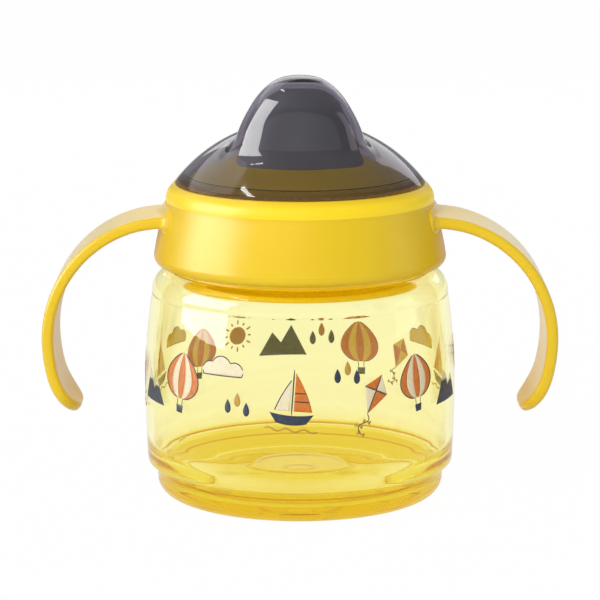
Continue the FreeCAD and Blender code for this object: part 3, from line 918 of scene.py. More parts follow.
    def build(self) -> Piece:
        """Turn the section, raise the thread on the neck and make the piece.

        Returns:
            The tumbler's object.
        """
        line = self.profile()[1:-1]
        above_shoulder = line[:, 1] > self.shoulder_z + 0.4
        line = refined(line, (np.abs(line[:, 0] - self.neck) < ON_WALL) & above_shoulder, self.thread_step)
        grid = turned_grid(line, self.columns)
        self.thread.raise_on(grid, self.neck, 1)
        piece = grid_object("Tumbler", grid, poles=True)
        # Painted tint: the skin is deeper towards the foot and in the floor's middle, standing in for light
        # carried through thick plastic.
        mark(piece, "tint", self.tint(*heights(piece)))
        return piece

    def tint(self, radius: Array, z: Array) -> Array:
        """Depth of the skin's painted tint: pale above, deeper towards the foot and in the floor's middle, in
        place of light carried through thick plastic.

        Args:
            radius: Distances from the axis.
            z: Heights.

        Returns:
            Tints from 0 to 1.
        """
        wall = np.interp(z, *zip(*self.wall_painted_tint))
        floor = np.interp(radius, *zip(*self.floor_painted_tint))
        low, high = self.foot_painted_tint
        foot = (z < low) | (z < high) & (radius > self.foot - 1)
        return np.where(foot, 1.0, np.where(z < self.floor_top, floor, wall))


# ------------------------------------------------------------------ printed pictures
class Hue(Enum):
    """Inks of the print."""

    ORANGE = Ink("orange ink", (0.70, 0.20, 0.022), (0.62, 0.16, 0.018))
    NAVY = Ink("navy ink", (0.030, 0.040, 0.066), (0.045, 0.058, 0.090))
    MUSTARD = Ink("mustard ink", (0.56, 0.32, 0.045), (0.50, 0.28, 0.04))
    CREAM = Ink("cream ink", (0.86, 0.76, 0.52), (0.82, 0.72, 0.47))

    def fill(self, first: Array, second: Array, layer: int = 0) -> "Patch":
        """Field of this ink between two lines."""
        return Patch(self, between(first, second), layer)

    def draw(self, line: Array, width: float, layer: int = 0) -> "Patch":
        """Stroke of this ink along a line."""
        return Patch(self, stroke(line, width), layer)


@dataclass(frozen=True)
class Patch:
    """One field of ink: a grid of flat points, right and up in millimetres, and its layer."""

    hue: Hue
    grid: Array
    layer: int = 0


def between(first: Array, second: Array, step: float = 0.7) -> Array:
    """Grid between two lines with as many points: their mix, (1 - t) first + t second.

    Args:
        first: (right, up) rows.
        second: (right, up) rows.
        step: Largest width of a cell.

    Returns:
        Points, turned anticlockwise.
    """
    span = float(np.linalg.norm(second - first, axis=1).max())
    t = np.linspace(0, 1, max(2, math.ceil(span / step) + 1))[None, :, None]
    grid = first[:, None] * (1 - t) + second[:, None] * t
    along, across = grid[1:, :-1] - grid[:-1, :-1], grid[:-1, 1:] - grid[:-1, :-1]
    area = (across[..., 0] * along[..., 1] - across[..., 1] * along[..., 0]).sum()
    return grid if area > 0 else grid[:, ::-1]


def stroke(line: Array, width: float) -> Array:
    """Grid of a pen stroke: the line moved to both sides along its normal, tapered at its ends.

    Args:
        line: (right, up) rows.
        width: Width of the stroke.

    Returns:
        Points.
    """
    along = np.gradient(line, axis=0)
    along /= np.linalg.norm(along, axis=1, keepdims=True)
    ends = np.minimum(1, 0.4 + np.minimum(np.arange(len(line)), np.arange(len(line))[::-1]))[:, None]
    side = np.stack([-along[:, 1], along[:, 0]], 1) * ends * width / 2
    return between(line - side, line + side)


def straight(start: Pair, stop: Pair, steps: int = 8) -> Array:
    """Line of evenly spaced points between two places."""
    return np.linspace(start, stop, steps)


@dataclass
class Print:
    """Ring of small pictures round the tumbler: balloons, boats, kites, hills, suns, clouds and rain."""

    tumbler: Tumbler
    lift: float = 0.02          # air under the ink, far too thin to see
    layer: float = 0.035        # height of one layer of ink
    layer_pitch: float = 0.042  # the same with the air above it
    places: tuple[tuple[str, float, float, float, float], ...] = (
        # picture, bearing from the front, height, scale, lean
        ("boat", -3, 28.6, 1.0, -4), ("rain", 17, 37.6, 0.8, 0), ("kite", 27, 31.6, 0.95, -24),
        ("balloon", 47, 33.2, 0.95, 5), ("hills", 69, 26.4, 0.95, 0), ("sun", 86, 36.6, 0.8, 0),
        ("boat", 104, 27.6, 0.9, 5), ("cloud", 121, 34.6, 1.0, 0), ("kite", 136, 28.6, 0.85, 20),
        ("balloon", 155, 28.8, 0.95, -4), ("rain", 171, 31.6, 0.85, 0), ("hills", 187, 26.4, 0.95, 0),
        ("sun", 206, 32.4, 0.8, 0), ("balloon", 224, 28.8, 0.9, 6), ("cloud", 241, 34.8, 0.9, 0),
        ("boat", 256, 27.4, 0.9, -3), ("kite", 274, 31.6, 0.9, 18), ("hills", 292, 26.2, 0.9, 0),
        ("balloon", 312, 33.0, 1.0, -6), ("cloud", 331, 38.0, 0.95, 0), ("rain", 337, 29.6, 0.8, 0))

    @staticmethod
    def balloon() -> list[Patch]:
        """Striped balloon: its half width is a power of sin(pi s) with an open mouth below.

        Returns:
            The fields of ink.
        """
        s = np.linspace(0, 1, 40)
        half = 5.3 * np.sin(math.pi * s ** 0.8) ** 0.72 + 1.0 * (1 - s)
        seams = [np.stack([half * share, 11.6 * s - 3.6], 1) for share in (-1, -0.62, -0.2, 0.2, 0.62, 1)]
        patches = [(Hue.ORANGE, Hue.CREAM)[k % 2].fill(seams[k], seams[k + 1]) for k in range(5)]
        patches += [Hue.NAVY.draw(seam[:-1], 0.26, 1) for seam in (seams[0], seams[5])]
        ropes = [straight((side, -3.7), (side * 0.9, -5.3)) for side in (-0.9, 0.9)]
        patches += [Hue.NAVY.draw(rope, 0.22) for rope in ropes]
        basket = straight((-1.25, -5.3), (1.25, -5.3)), straight((-1.0, -7.2), (1.0, -7.2))
        return patches + [Hue.NAVY.fill(*basket)]

    @staticmethod
    def boat() -> list[Patch]:
        """Sailing boat: a hull, a mast, two sails with bowed edges, and a wave below.

        Returns:
            The fields of ink.
        """
        t = np.linspace(0, 1, 24)
        deck = np.stack([-5.4 + 10.8 * t, 0.5 * (2 * t - 1) ** 2 - 0.5], 1)
        keel = np.stack([-3.7 + 7.4 * t, -2.4 - 0.5 * (1 - (2 * t - 1) ** 2)], 1)
        luff = straight((0.45, 0.6), (0.45, 10.0), 24)
        leech = np.stack([5.0 - 4.5 * t + 2.0 * t * (1 - t), 0.6 + 9.4 * t], 1)
        stay = straight((-0.45, 0.6), (-0.45, 8.2), 24)
        jib = np.stack([-4.2 + 3.7 * t - 1.2 * t * (1 - t), 0.6 + 7.6 * t], 1)
        wave = np.stack([-6.5 + 13 * t, -4.1 + 0.4 * np.sin(t * 6 * math.pi)], 1)
        bands = [luff[k] + (leech[k] - luff[k]) * t[:, None] for k in (6, 11)]
        return [Hue.NAVY.fill(deck, keel), Hue.NAVY.draw(straight((0, -0.4), (0, 10.8)), 0.36),
                Hue.ORANGE.fill(luff, leech), Hue.CREAM.fill(stay, jib), Hue.NAVY.draw(jib, 0.24, 1),
                Hue.MUSTARD.draw(wave, 0.4), *(Hue.NAVY.draw(band, 0.24, 1) for band in bands)]

    @staticmethod
    def kite() -> list[Patch]:
        """Diamond kite of four fields, with a wavy tail and its bows.

        Returns:
            The fields of ink.
        """
        top, right, low, left, middle = ((0.0, 6.2), (3.5, 2.0), (0.0, -4.4), (-3.5, 2.0), (0.0, 2.0))
        patches = [hue.fill(straight(end, middle), straight(end, corner)) for hue, end, corner in (
            (Hue.ORANGE, top, left), (Hue.CREAM, top, right), (Hue.CREAM, low, left),
            (Hue.ORANGE, low, right))]
        patches += [Hue.NAVY.draw(straight(a, b), 0.24, 1) for a, b in ((top, low), (left, right))]
        t = np.linspace(0, 1, 30)
        tail = np.stack([1.0 * np.sin(t * 2.2 * math.pi), -4.4 - 5.6 * t], 1)
        patches.append(Hue.NAVY.draw(tail, 0.24))
        for x, y in tail[[10, 19, 28]]:
            for side in (-1, 1):
                edge = straight((x + side * 1.1, y + 0.6), (x + side * 1.1, y - 0.6), 4)
                patches.append(Hue.MUSTARD.fill(np.tile([x, y], (4, 1)), edge, 1))
        return patches

    @staticmethod
    def cloud() -> list[Patch]:
        """Cloud: the highest of three circles above, and level below, with an outline.

        Returns:
            The fields of ink.
        """
        x = -5.9 + 11.8 * (1 - np.cos(np.linspace(0, math.pi, 60))) / 2
        puffs = [np.sqrt(np.clip(radius ** 2 - (x - place) ** 2, 0, None)) + rise
                 for place, rise, radius in ((-3.6, 0.0, 2.3), (-0.3, 0.9, 2.9), (3.5, 0.0, 2.4))]
        top = np.max(puffs, axis=0) * np.where(np.abs(x) < 5.9, 1, 0)
        below = np.maximum(-1.2, -np.sqrt(np.clip(2.4 ** 2 - (np.abs(x) - 3.5) ** 2, 0, None)))
        below = np.where(np.abs(x) < 3.5, -1.2, below)
        upper, lower = np.stack([x, np.clip(top, 0, None)], 1), np.stack([x, below], 1)
        return [Hue.CREAM.fill(lower, upper), Hue.NAVY.draw(upper[1:-1], 0.26, 1),
                Hue.NAVY.draw(lower[1:-1], 0.26, 1)]

    @staticmethod
    def sun() -> list[Patch]:
        """Disc between its two half circles, with short rays round it.

        Returns:
            The fields of ink.
        """
        turn = np.linspace(0, math.pi, 30)
        half = 3 * np.stack([np.sin(turn), np.cos(turn)], 1)
        rays = [np.array([math.cos(bearing), math.sin(bearing)]) for bearing in np.arange(12) * TURN / 12]
        return [Hue.MUSTARD.fill(half * [-1, 1], half)] + [
            Hue.MUSTARD.draw(np.linspace(ray * 3.8, ray * (5.5 if k % 2 else 4.9), 6), 0.55)
            for k, ray in enumerate(rays)]

    @staticmethod
    def hills() -> list[Patch]:
        """Two peaks over a level foot, with a snow line of zigzags.

        Returns:
            The fields of ink.
        """
        x = np.linspace(-7, 7, 57)
        crest = ([-7, -2.5, 0.5, 3.0, 7], [0, 8.6, 3.6, 6.6, 0])
        foot, ridge = np.stack([x, 0 * x], 1), np.stack([x, np.interp(x, *crest)], 1)
        caps = []
        for start, stop, low in ((-4.0, -1.25, 5.6), (1.75, 4.25, 4.6)):
            span = np.linspace(start, stop, 13)
            peak = np.interp(span, *crest)
            line = np.minimum(peak, low + 0.7 * np.abs(np.mod(np.arange(13) / 2, 2) - 1))
            caps.append(Hue.CREAM.fill(np.stack([span, line], 1), np.stack([span, peak], 1), 1))
        return [Hue.NAVY.fill(foot, ridge), *caps]

    @staticmethod
    def rain() -> list[Patch]:
        """Three drops: half width s^0.6 (1 - s), round below and pointed above.

        Returns:
            The fields of ink.
        """
        s = np.linspace(0, 1, 24)
        half = 2.9 * s ** 0.6 * (1 - s)
        drops = []
        for hue, x, y in ((Hue.NAVY, -3.0, 0.0), (Hue.MUSTARD, 0.2, 2.2), (Hue.NAVY, 3.1, -0.6)):
            rise = y - 2.2 + 4.4 * s
            drops.append(hue.fill(np.stack([x - half, rise], 1), np.stack([x + half, rise], 1)))
        return drops

    def wrapped(self, patch: Patch, bearing: float, height: float, scale: float, lean: float) -> Array:
        """Lay a patch on the wall: (R sin a, -R cos a, z) with a = bearing + right / R.

        Args:
            patch: Flat field of ink.
            bearing: Place of the picture's middle, in degrees from the front.
            height: Height of its middle.
            scale: Size of the picture.
            lean: Its turn, in degrees.

        Returns:
            Points on the wall.
        """
        turn = math.radians(lean)
        right, up = patch.grid[..., 0] * scale, patch.grid[..., 1] * scale
        right, up = right * math.cos(turn) - up * math.sin(turn), right * math.sin(turn) + up * math.cos(turn)
        z = height + up
        radius = self.tumbler.wall_radius(z) + self.lift + patch.layer * self.layer_pitch
        angle = math.radians(bearing) + right / radius
        return np.stack([radius * np.sin(angle), -radius * np.cos(angle), z], -1)

    def build(self) -> dict[Hue, Piece]:
        """Lay all the pictures and make one thin piece for each ink.

        Returns:
            The piece of each ink.
        """
        sheets: dict[Hue, list[Array]] = {hue: [] for hue in Hue}
        for name, *place in self.places:
            for patch in getattr(self, name)():
                sheets[patch.hue].append(self.wrapped(patch, *place))
        pieces = {}
        for hue, grids in sheets.items():
            starts = np.cumsum([0] + [grid.shape[0] * grid.shape[1] for grid in grids])
            faces = [grid_faces(*grid.shape[:2], False, False) + start for grid, start in zip(grids, starts)]
            points = np.concatenate([grid.reshape(-1, 3) for grid in grids])
            piece = tidy(mesh_object(f"Print_{hue.name.lower()}", points, faces))
            thick = piece.modifiers.new("thickness", "SOLIDIFY")
            thick.thickness = self.layer * MM
            thick.offset = 1.0
            pieces[hue] = piece
        return pieces


# ------------------------------------------------------------------ spout form
@dataclass(frozen=True)
class SpoutForm:
    """Upright oval foot with a tapered, leaning upper part, which collar and cap share."""

    y: float = -11.0
    half_width: float = 15.6
    half_depth: float = 9.4
    shoulder: float = 86.0
    height: float = 18.5
    tip_half_width: float = 8.1
    tip_half_depth: float = 6.8
    lean: float = 2.4
    tip_round: float = 5.0

    @property
    def tip(self) -> float:
        """Height of the spout's tip."""
        return self.shoulder + self.height

    @property
    def slopes(self) -> Pair:
        """How much the half width and the half depth shrink over a millimetre of height."""
        shrink_x, shrink_y = self.half_width - self.tip_half_width, self.half_depth - self.tip_half_depth
        return shrink_x / self.height, shrink_y / self.height

    def oval(self, z: Array, grow: float) -> tuple[Array, Array, Array]:
        """Half width, half depth and centre of the level ovals, which shrink evenly with height.

        Args:
            z: Heights.
            grow: Amount by which the form is larger on all sides.

        Returns:
            Half widths, half depths and places along Y.
        """
        slope_x, slope_y = self.slopes
        rise = z - self.shoulder
        width = self.half_width - rise * slope_x + grow * math.hypot(1, slope_x)
        depth = self.half_depth - rise * slope_y + grow * math.hypot(1, slope_y)
        return width, depth, self.y - self.lean * rise / self.height

    def apart(self, points: Array, grow: float) -> Array:
        """Signed distance to the endless tapered part, negative inside.

        It is (k - 1) over the slope of k, with k the oval's own radius, times the side's slant.

        Args:
            points: Points in millimetres, along the last axis.
            grow: Amount by which the form is larger on all sides.

        Returns:
            Distances.
        """
        width, depth, middle = self.oval(points[..., 2], grow)
        x, y = points[..., 0], points[..., 1] - middle
        least = 1e-9
        k = np.sqrt((x / width) ** 2 + (y / depth) ** 2) + least
        slope = np.hypot(x / width ** 2, y / depth ** 2) / k + least
        return (k - 1) / slope / math.hypot(1, self.slopes[0])

    def ring(self, z: Array, grow: Array, columns: int) -> Array:
        """Grid of level ovals: centre + (width cos a, depth sin a).

        Args:
            z: Height of each row.
            grow: Growth of each row; the foot's oval counts below the shoulder.
            columns: Number of steps round the oval.

        Returns:
            Points as rows by columns by three.
        """
        angle = np.arange(columns) / columns * TURN
        width, depth, middle = self.oval(np.maximum(z, self.shoulder), 0.0)
        width, depth = width + grow, depth + grow
        return np.stack([width[:, None] * np.cos(angle), middle[:, None] + depth[:, None] * np.sin(angle),
                         z[:, None] + 0 * angle], -1)


FORM = SpoutForm()


@dataclass
class Spout:
    """Soft drinking spout with its flange and a row of sip holes."""

    form: SpoutForm = FORM
    wall: float = 2.0
    flange_bottom: float = 77.4
    flange_top: float = 79.0
    flange_width: float = 1.9
    holes: int = 3
    hole: float = 0.7           # radius of a sip hole
    pitch: float = 3.0
    hole_columns: int = 24
    side_rows: int = 30
    crown_rows: int = 18
    columns: int = 192

    def skin(self, grow: float) -> tuple[Array, Array]:
        """Heights and growth of the rows of one skin, from the shoulder up to the crown.

        The crown is a quarter turn: the row sinks by r(1 - sin t) and shrinks by r(1 - cos t).

        Args:
            grow: Growth of this skin against the form.

        Returns:
            Heights and growths.
        """
        radius = self.form.tip_round + grow
        tip = self.form.tip + grow
        start = tip - radius
        side = np.linspace(self.form.shoulder, start, self.side_rows)
        t = np.linspace(0, math.pi / 2, self.crown_rows)[1:]
        z = np.concatenate([side, start + radius * np.sin(t)])
        return z, np.concatenate([np.full(len(side), grow), grow - radius * (1 - np.cos(t))])

    def build(self) -> Piece:
        """Make both skins, join them at the foot and punch the sip holes.

        Returns:
            The spout's object.
        """
        outer_z, outer_grow = self.skin(0.0)
        inner_z, inner_grow = self.skin(-self.wall)
        foot = rounded([(-self.wall, self.flange_bottom, 0), (self.flange_width, self.flange_bottom, 0.35),
                        (self.flange_width, self.flange_top, 0.35), (0.0, self.flange_top, 0.3),
                        (0.0, self.form.shoulder, 0)], 5)
        z = np.concatenate([inner_z[::-1], foot[:-1, 1], outer_z])
        grow = np.concatenate([inner_grow[::-1], foot[:-1, 0], outer_grow])
        grid = self.form.ring(z, grow, self.columns)
        piece = tidy(grid_object("Spout", grid, poles=True))
        place = self.form.y - self.form.lean
        line = np.array([(self.hole, self.form.tip - 2 * self.wall), (self.hole, self.form.tip + 1)])
        row = (np.arange(self.holes) - (self.holes - 1) / 2) * self.pitch
        return carve(piece, [
            grid_object(f"drill{index}", turned_grid(line, self.hole_columns, x, place), poles=True)
            for index, x in enumerate(row)])


# ------------------------------------------------------------------ travel cap
@dataclass
class TravelCap:
    """See-through cap: a dome, the hood over the spout, blended, and a thick rim."""

    form: SpoutForm = FORM
    radius: float = 31.4
    rim_bore: float = 28.8
    rim_top: float = 80.6       # the rim is solid up to this height
    rim_top_bore: float = 27.75
    wall: float = 1.4
    seat: float = 79.0
    edge: float = 0.4
    rise: float = 15.3
    gap: float = 0.7            # air between the spout and the hood
    headroom: float = 0.9       # further air above the spout's tip
    crown: float = 18.0         # radius of the hood's crown
    crown_round: float = 5.0    # round between that crown and the hood's sides
    blend: float = 2.0
    rim_round: float = 0.35
    swell: float = 0.09         # share by which the hood is wider near its crown
    swell_z: Pair = (87.0, 103.0)       # heights between which that share grows
    ball_share: float = 0.7     # share of the crown's radius beyond which it goes on straight
    lowest_row: float = 0.3     # height of the first row of a skin above the rim's edge
    columns: int = 256
    rows: int = 150
    focus: Triple = (0.0, -9.0, 79.0)
    tip_ray: Triple = (0.0, -4.6, 26.0)     # from the focus to the middle of the hood's crown
    longest_ray: float = 60.0
    halvings: int = 36

    def hood(self, points: Array, inset: float) -> Array:
        """Signed distance to the filled hood: the round meeting of its sides and a ball's crown.

        Beyond a share of the ball's radius the crown goes on straight, as a cone. The sides are
        wider towards the top by a swell s times t^2 (3 - 2t), with t from 0 to 1 over its heights.

        Args:
            points: Points in millimetres, along the last axis.
            inset: Amount by which the form is smaller.

        Returns:
            Distances.
        """
        grow = self.gap + self.wall - inset
        low, high = self.swell_z
        t = np.clip((points[..., 2] - low) / (high - low), 0, 1)
        narrowed = points.copy()
        narrowed[..., 0] /= 1 + self.swell * t ** 2 * (3 - 2 * t)
        side = self.form.apart(narrowed, grow)
        ball = self.crown - inset
        away = np.hypot(points[..., 0], points[..., 1] - self.form.y + self.form.lean)
        near = np.minimum(away, self.ball_share * ball)
        height = self.form.tip + grow + self.headroom - ball + np.sqrt(ball ** 2 - near ** 2) - (away - near)
        top = (points[..., 2] - height) * np.sqrt(1 - (near / ball) ** 2)
        radius = self.crown_round - inset
        outer = np.stack([radius + side, radius + top], -1).clip(0)
        return np.minimum(-radius, np.maximum(side, top)) + np.linalg.norm(outer, axis=-1)

    def apart(self, points: Array, inset: float) -> Array:
        """Signed distance to the filled cap: the round union of its dome and its hood.

        Args:
            points: Points in millimetres, along the last axis.
            inset: Amount by which the form is smaller, such as the wall for the inside.

        Returns:
            Distances.
        """
        ball = (self.radius ** 2 + self.rise ** 2) / (2 * self.rise)
        middle = self.seat + self.edge + self.rise - ball
        flat = np.hypot(points[..., 0], points[..., 1])
        dome = np.hypot(flat, points[..., 2] - middle) - (ball - inset)
        dome = np.maximum(dome, flat - (self.radius - inset))
        hood = self.hood(points, inset)
        radius = self.blend + inset
        near = np.stack([radius - dome, radius - hood], -1).clip(0)
        return np.maximum(radius, np.minimum(dome, hood)) - np.linalg.norm(near, axis=-1)

    def skin(self, inset: float, start: float) -> Array:
        """Grid where rays from a focus on the seat's plane leave the filled cap.

        A row's rays turn from the rim's ring up to the hood's tip, and each ray's length is
        found by halving.

        Args:
            inset: Amount by which the form is smaller.
            start: Height of the lowest row.

        Returns:
            Points from the tip down to the rim.
        """
        focus = np.array(self.focus)
        angle = np.arange(self.columns) / self.columns * TURN
        reach = self.rim_top_bore if inset else self.radius
        ring = np.stack([reach * np.cos(angle), reach * np.sin(angle), start + 0 * angle], -1) - focus
        turn = np.linspace(1, 0, self.rows)[:, None, None] * math.pi / 2
        rays = ring[None] * np.cos(turn) + np.array(self.tip_ray) * np.sin(turn)
        rays /= np.linalg.norm(rays, axis=-1, keepdims=True)
        low, high = np.zeros(rays.shape[:2]), np.full(rays.shape[:2], self.longest_ray)
        for _ in range(self.halvings):
            half = (low + high) / 2
            outside = self.apart(focus + rays * half[..., None], inset) > 0
            low, high = np.where(outside, low, half), np.where(outside, half, high)
        return (focus + rays * low[..., None])[1:]

    def build(self) -> Piece:
        """Join the two skins by the rim.

        Returns:
            The cap's object.
        """
        start = self.seat + self.edge + self.lowest_row
        outer = self.skin(0.0, start)
        inner = self.skin(self.wall, self.rim_top + self.lowest_row)
        rim = rounded([(self.radius, start, 0), (self.radius, self.seat, self.rim_round),
                       (self.rim_bore, self.seat, self.rim_round), (self.rim_bore, self.seat + 0.8, 0.4),
                       (self.rim_top_bore, self.rim_top, 0.15),
                       (self.rim_top_bore + 0.9, self.rim_top + 0.15, 0)], 6)[1:-1]
        grid = np.concatenate([outer, turned_grid(rim, self.columns), inner[::-1]])
        return grid_object("Travel_cap", grid, poles=True)


# ------------------------------------------------------------------ collar
@dataclass
class Collar:
    """Screw collar: bowed skirt, cap seat, domed deck with the spout's well, vent and handles."""

    form: SpoutForm = FORM
    bottom: float = 58.6
    skirt: float = 37.1
    skirt_top: float = 33.7
    skirt_top_z: float = 74.4
    skirt_bow: float = 0.35
    seat: float = 31.75
    seat_z: float = 79.0
    seat_bow: float = 0.65
    bore: float = 33.6
    lip_bore: float = 32.0
    thread_top: float = 70.5
    ring_z: float = 76.6
    plug: float = 29.6          # sealing skirt that lines the tumbler's neck
    plug_bore: float = 28.4
    plug_bottom: float = 54.2
    upstand: float = 28.5
    upstand_z: float = 79.8
    rise: float = 9.1
    deck_wall: float = 1.9
    fit: float = 0.3
    well_wall: float = 1.9
    well_top: float = 90.0      # height up to which its form goes on, above the deck
    vent_y: float = 13.5
    pocket: float = 4.3
    pocket_wall: float = 1.4
    pocket_z: float = 86.0
    vent_hole: float = 2.0
    corner: float = 7.0         # round between the skirt's two arcs
    corner_rows: int = 3        # points of each arc that the round takes the place of
    above: float = 95.0         # height above the whole deck, up to which the cutters reach
    well_depth: float = 8.0     # depth of the cutters below the seat
    pocket_depth: float = 2.0
    shelf: Pair = (77.8, 2.5)   # height of the shoulder's round, and of the foot's above the bottom
    seam: float = 0.1           # gap between the rounds' points and those of the outline
    crown_rows: int = 60
    ceiling_rows: int = 50
    bore_step: float = 0.35     # largest height of a row in the bore
    oval_columns: int = 160
    pocket_columns: int = 96
    columns: int = 320
    thread: Thread = field(default_factory=lambda: Thread(bottom=59.6, top=68.6, phase=0.5))

    def deck(self, radius: Array, inset: float = 0.0) -> Array:
        """Height of the deck's dome over a distance from the axis."""
        return dome_height(radius, self.upstand, self.upstand_z, self.rise, inset)

    def skirt_line(self) -> Array:
        """Outline of the skirt and the shoulder, upwards: two bowed arcs with a round between them.

        Returns:
            (radius, height) rows.
        """
        meet = (self.skirt_top, self.skirt_top_z)
        low = bowed((self.skirt, self.bottom), meet, self.skirt_bow, 22)[:-self.corner_rows]
        high = bowed(meet, (self.seat, self.seat_z), self.seat_bow, 14)[self.corner_rows:]
        return rounded([*((*point, 0) for point in low), (*meet, self.corner),
                        *((*point, 0) for point in high)], 8)

    def skirt_radius(self, z: Array | float) -> Array:
        """Outer radius of the collar at a height."""
        line = self.skirt_line()
        return np.interp(z, line[:, 1], line[:, 0])

    def profile(self) -> Array:
        """Half section of the shell, from the deck's crown outside to its crown inside.

        Returns:
            (radius, height) rows.
        """
        shelf_z, foot_z = self.shelf[0], self.bottom + self.shelf[1]
        reach = np.linspace(0.25, self.upstand - 0.5, self.crown_rows)
        crown = np.stack([reach, self.deck(reach)], 1)
        upstand = rounded([(*crown[-1], 0), (self.upstand, self.upstand_z, 0.35),
                           (self.upstand, self.seat_z, 0.25), (self.seat, self.seat_z, 0.3),
                           (float(self.skirt_radius(shelf_z)), shelf_z, 0)], 6)
        outline = self.skirt_line()[::-1]
        outline = outline[(outline[:, 1] < shelf_z - self.seam) & (outline[:, 1] > foot_z + self.seam)]
        under = rounded([(float(self.skirt_radius(foot_z)), foot_z, 0), (self.skirt + 0.06, self.bottom, 2.3),
                         (self.bore + 0.8, self.bottom, 0.3), (self.bore, self.bottom + 0.8, 0.3),
                         (self.bore, self.thread_top, 0), (self.lip_bore, self.thread_top + 1.8, 0),
                         (self.lip_bore, self.ring_z, 0), (self.plug, self.ring_z, 0),
                         (self.plug, self.plug_bottom, 0.5), (self.plug_bore, self.plug_bottom, 0.3),
                         (self.plug_bore, float(self.deck(np.array(self.plug_bore), self.deck_wall)), 0)], 9)
        reach = np.linspace(self.plug_bore - 0.2, 0.25, self.ceiling_rows)
        ceiling = np.stack([reach, self.deck(reach, self.deck_wall)], 1)
        return np.concatenate([crown[:-1], upstand[:-1], outline, under, ceiling])

    def shell(self) -> Piece:
        """Turn the section, sink the thread's ridges into the bore, and cut the well and the pocket.

        Returns:
            The shell's object.
        """
        line = self.profile()
        line = refined(line, np.abs(line[:, 0] - self.bore) < ON_WALL, self.bore_step)
        grid = turned_grid(line, self.columns)
        self.thread.raise_on(grid, self.bore, -1)
        piece = grid_object("Collar", grid, poles=True)
        well = self.form.ring(np.array([self.seat_z - self.well_depth, self.above]), np.full(2, self.fit),
                              self.oval_columns)
        pocket = np.array([(self.pocket, self.seat_z - self.pocket_depth), (self.pocket, self.above)])
        carve(piece, [grid_object("well cutter", well, poles=True),
                      grid_object("pocket cutter", self.round_vent(pocket), poles=True)])
        radius, z = heights(piece)
        # Marks the bore and the underside, which take the painted glow of the collar's material.
        mark(piece, "inside", (radius < self.bore + 0.1) & (z < self.seat_z - 1) | (z < self.bottom + 0.1))
        return piece

    def well(self) -> Piece:
        """Oval wall under the deck that holds the spout's foot; its top follows the dome's inside.

        Returns:
            The wall's object.
        """
        outer = self.fit + self.well_wall
        line = rounded([(self.fit, self.seat_z, 0.3), (outer, self.seat_z, 0.5), (outer, self.well_top, 0),
                        (self.fit, self.well_top, 0)], 5, closed=True)
        return self.under_deck("Spout_well", self.form.ring(line[:, 1], line[:, 0], self.oval_columns))

    def round_vent(self, line: Array) -> Array:
        """Turn a section about the vent's axis."""
        return turned_grid(line, self.pocket_columns, 0.0, self.vent_y)

    def vent_boss(self) -> Piece:
        """Round pocket of the vent with the hole in its floor; its top follows the dome's inside.

        Returns:
            The pocket's object.
        """
        outer, below = self.pocket + self.pocket_wall, self.pocket_z - self.deck_wall
        line = rounded([(self.vent_hole, below, 0.2), (outer, below, 0.4), (outer, self.above, 0),
                        (self.pocket, self.above, 0), (self.pocket, self.pocket_z, 0.3),
                        (self.vent_hole, self.pocket_z, 0.2)], 5, closed=True)
        return self.under_deck("Vent_pocket", self.round_vent(line))

    def under_deck(self, name: str, grid: Array) -> Piece:
        """Lower a wall's points until they lie within the deck's thickness.

        Args:
            name: Name of the piece.
            grid: Its points, whose last row joins the first.

        Returns:
            The object.
        """
        limit = self.deck(np.hypot(grid[..., 0], grid[..., 1]), self.deck_wall * 0.4)
        grid[..., 2] = np.minimum(grid[..., 2], limit)
        return tidy(grid_object(name, grid, wrap_rows=True))


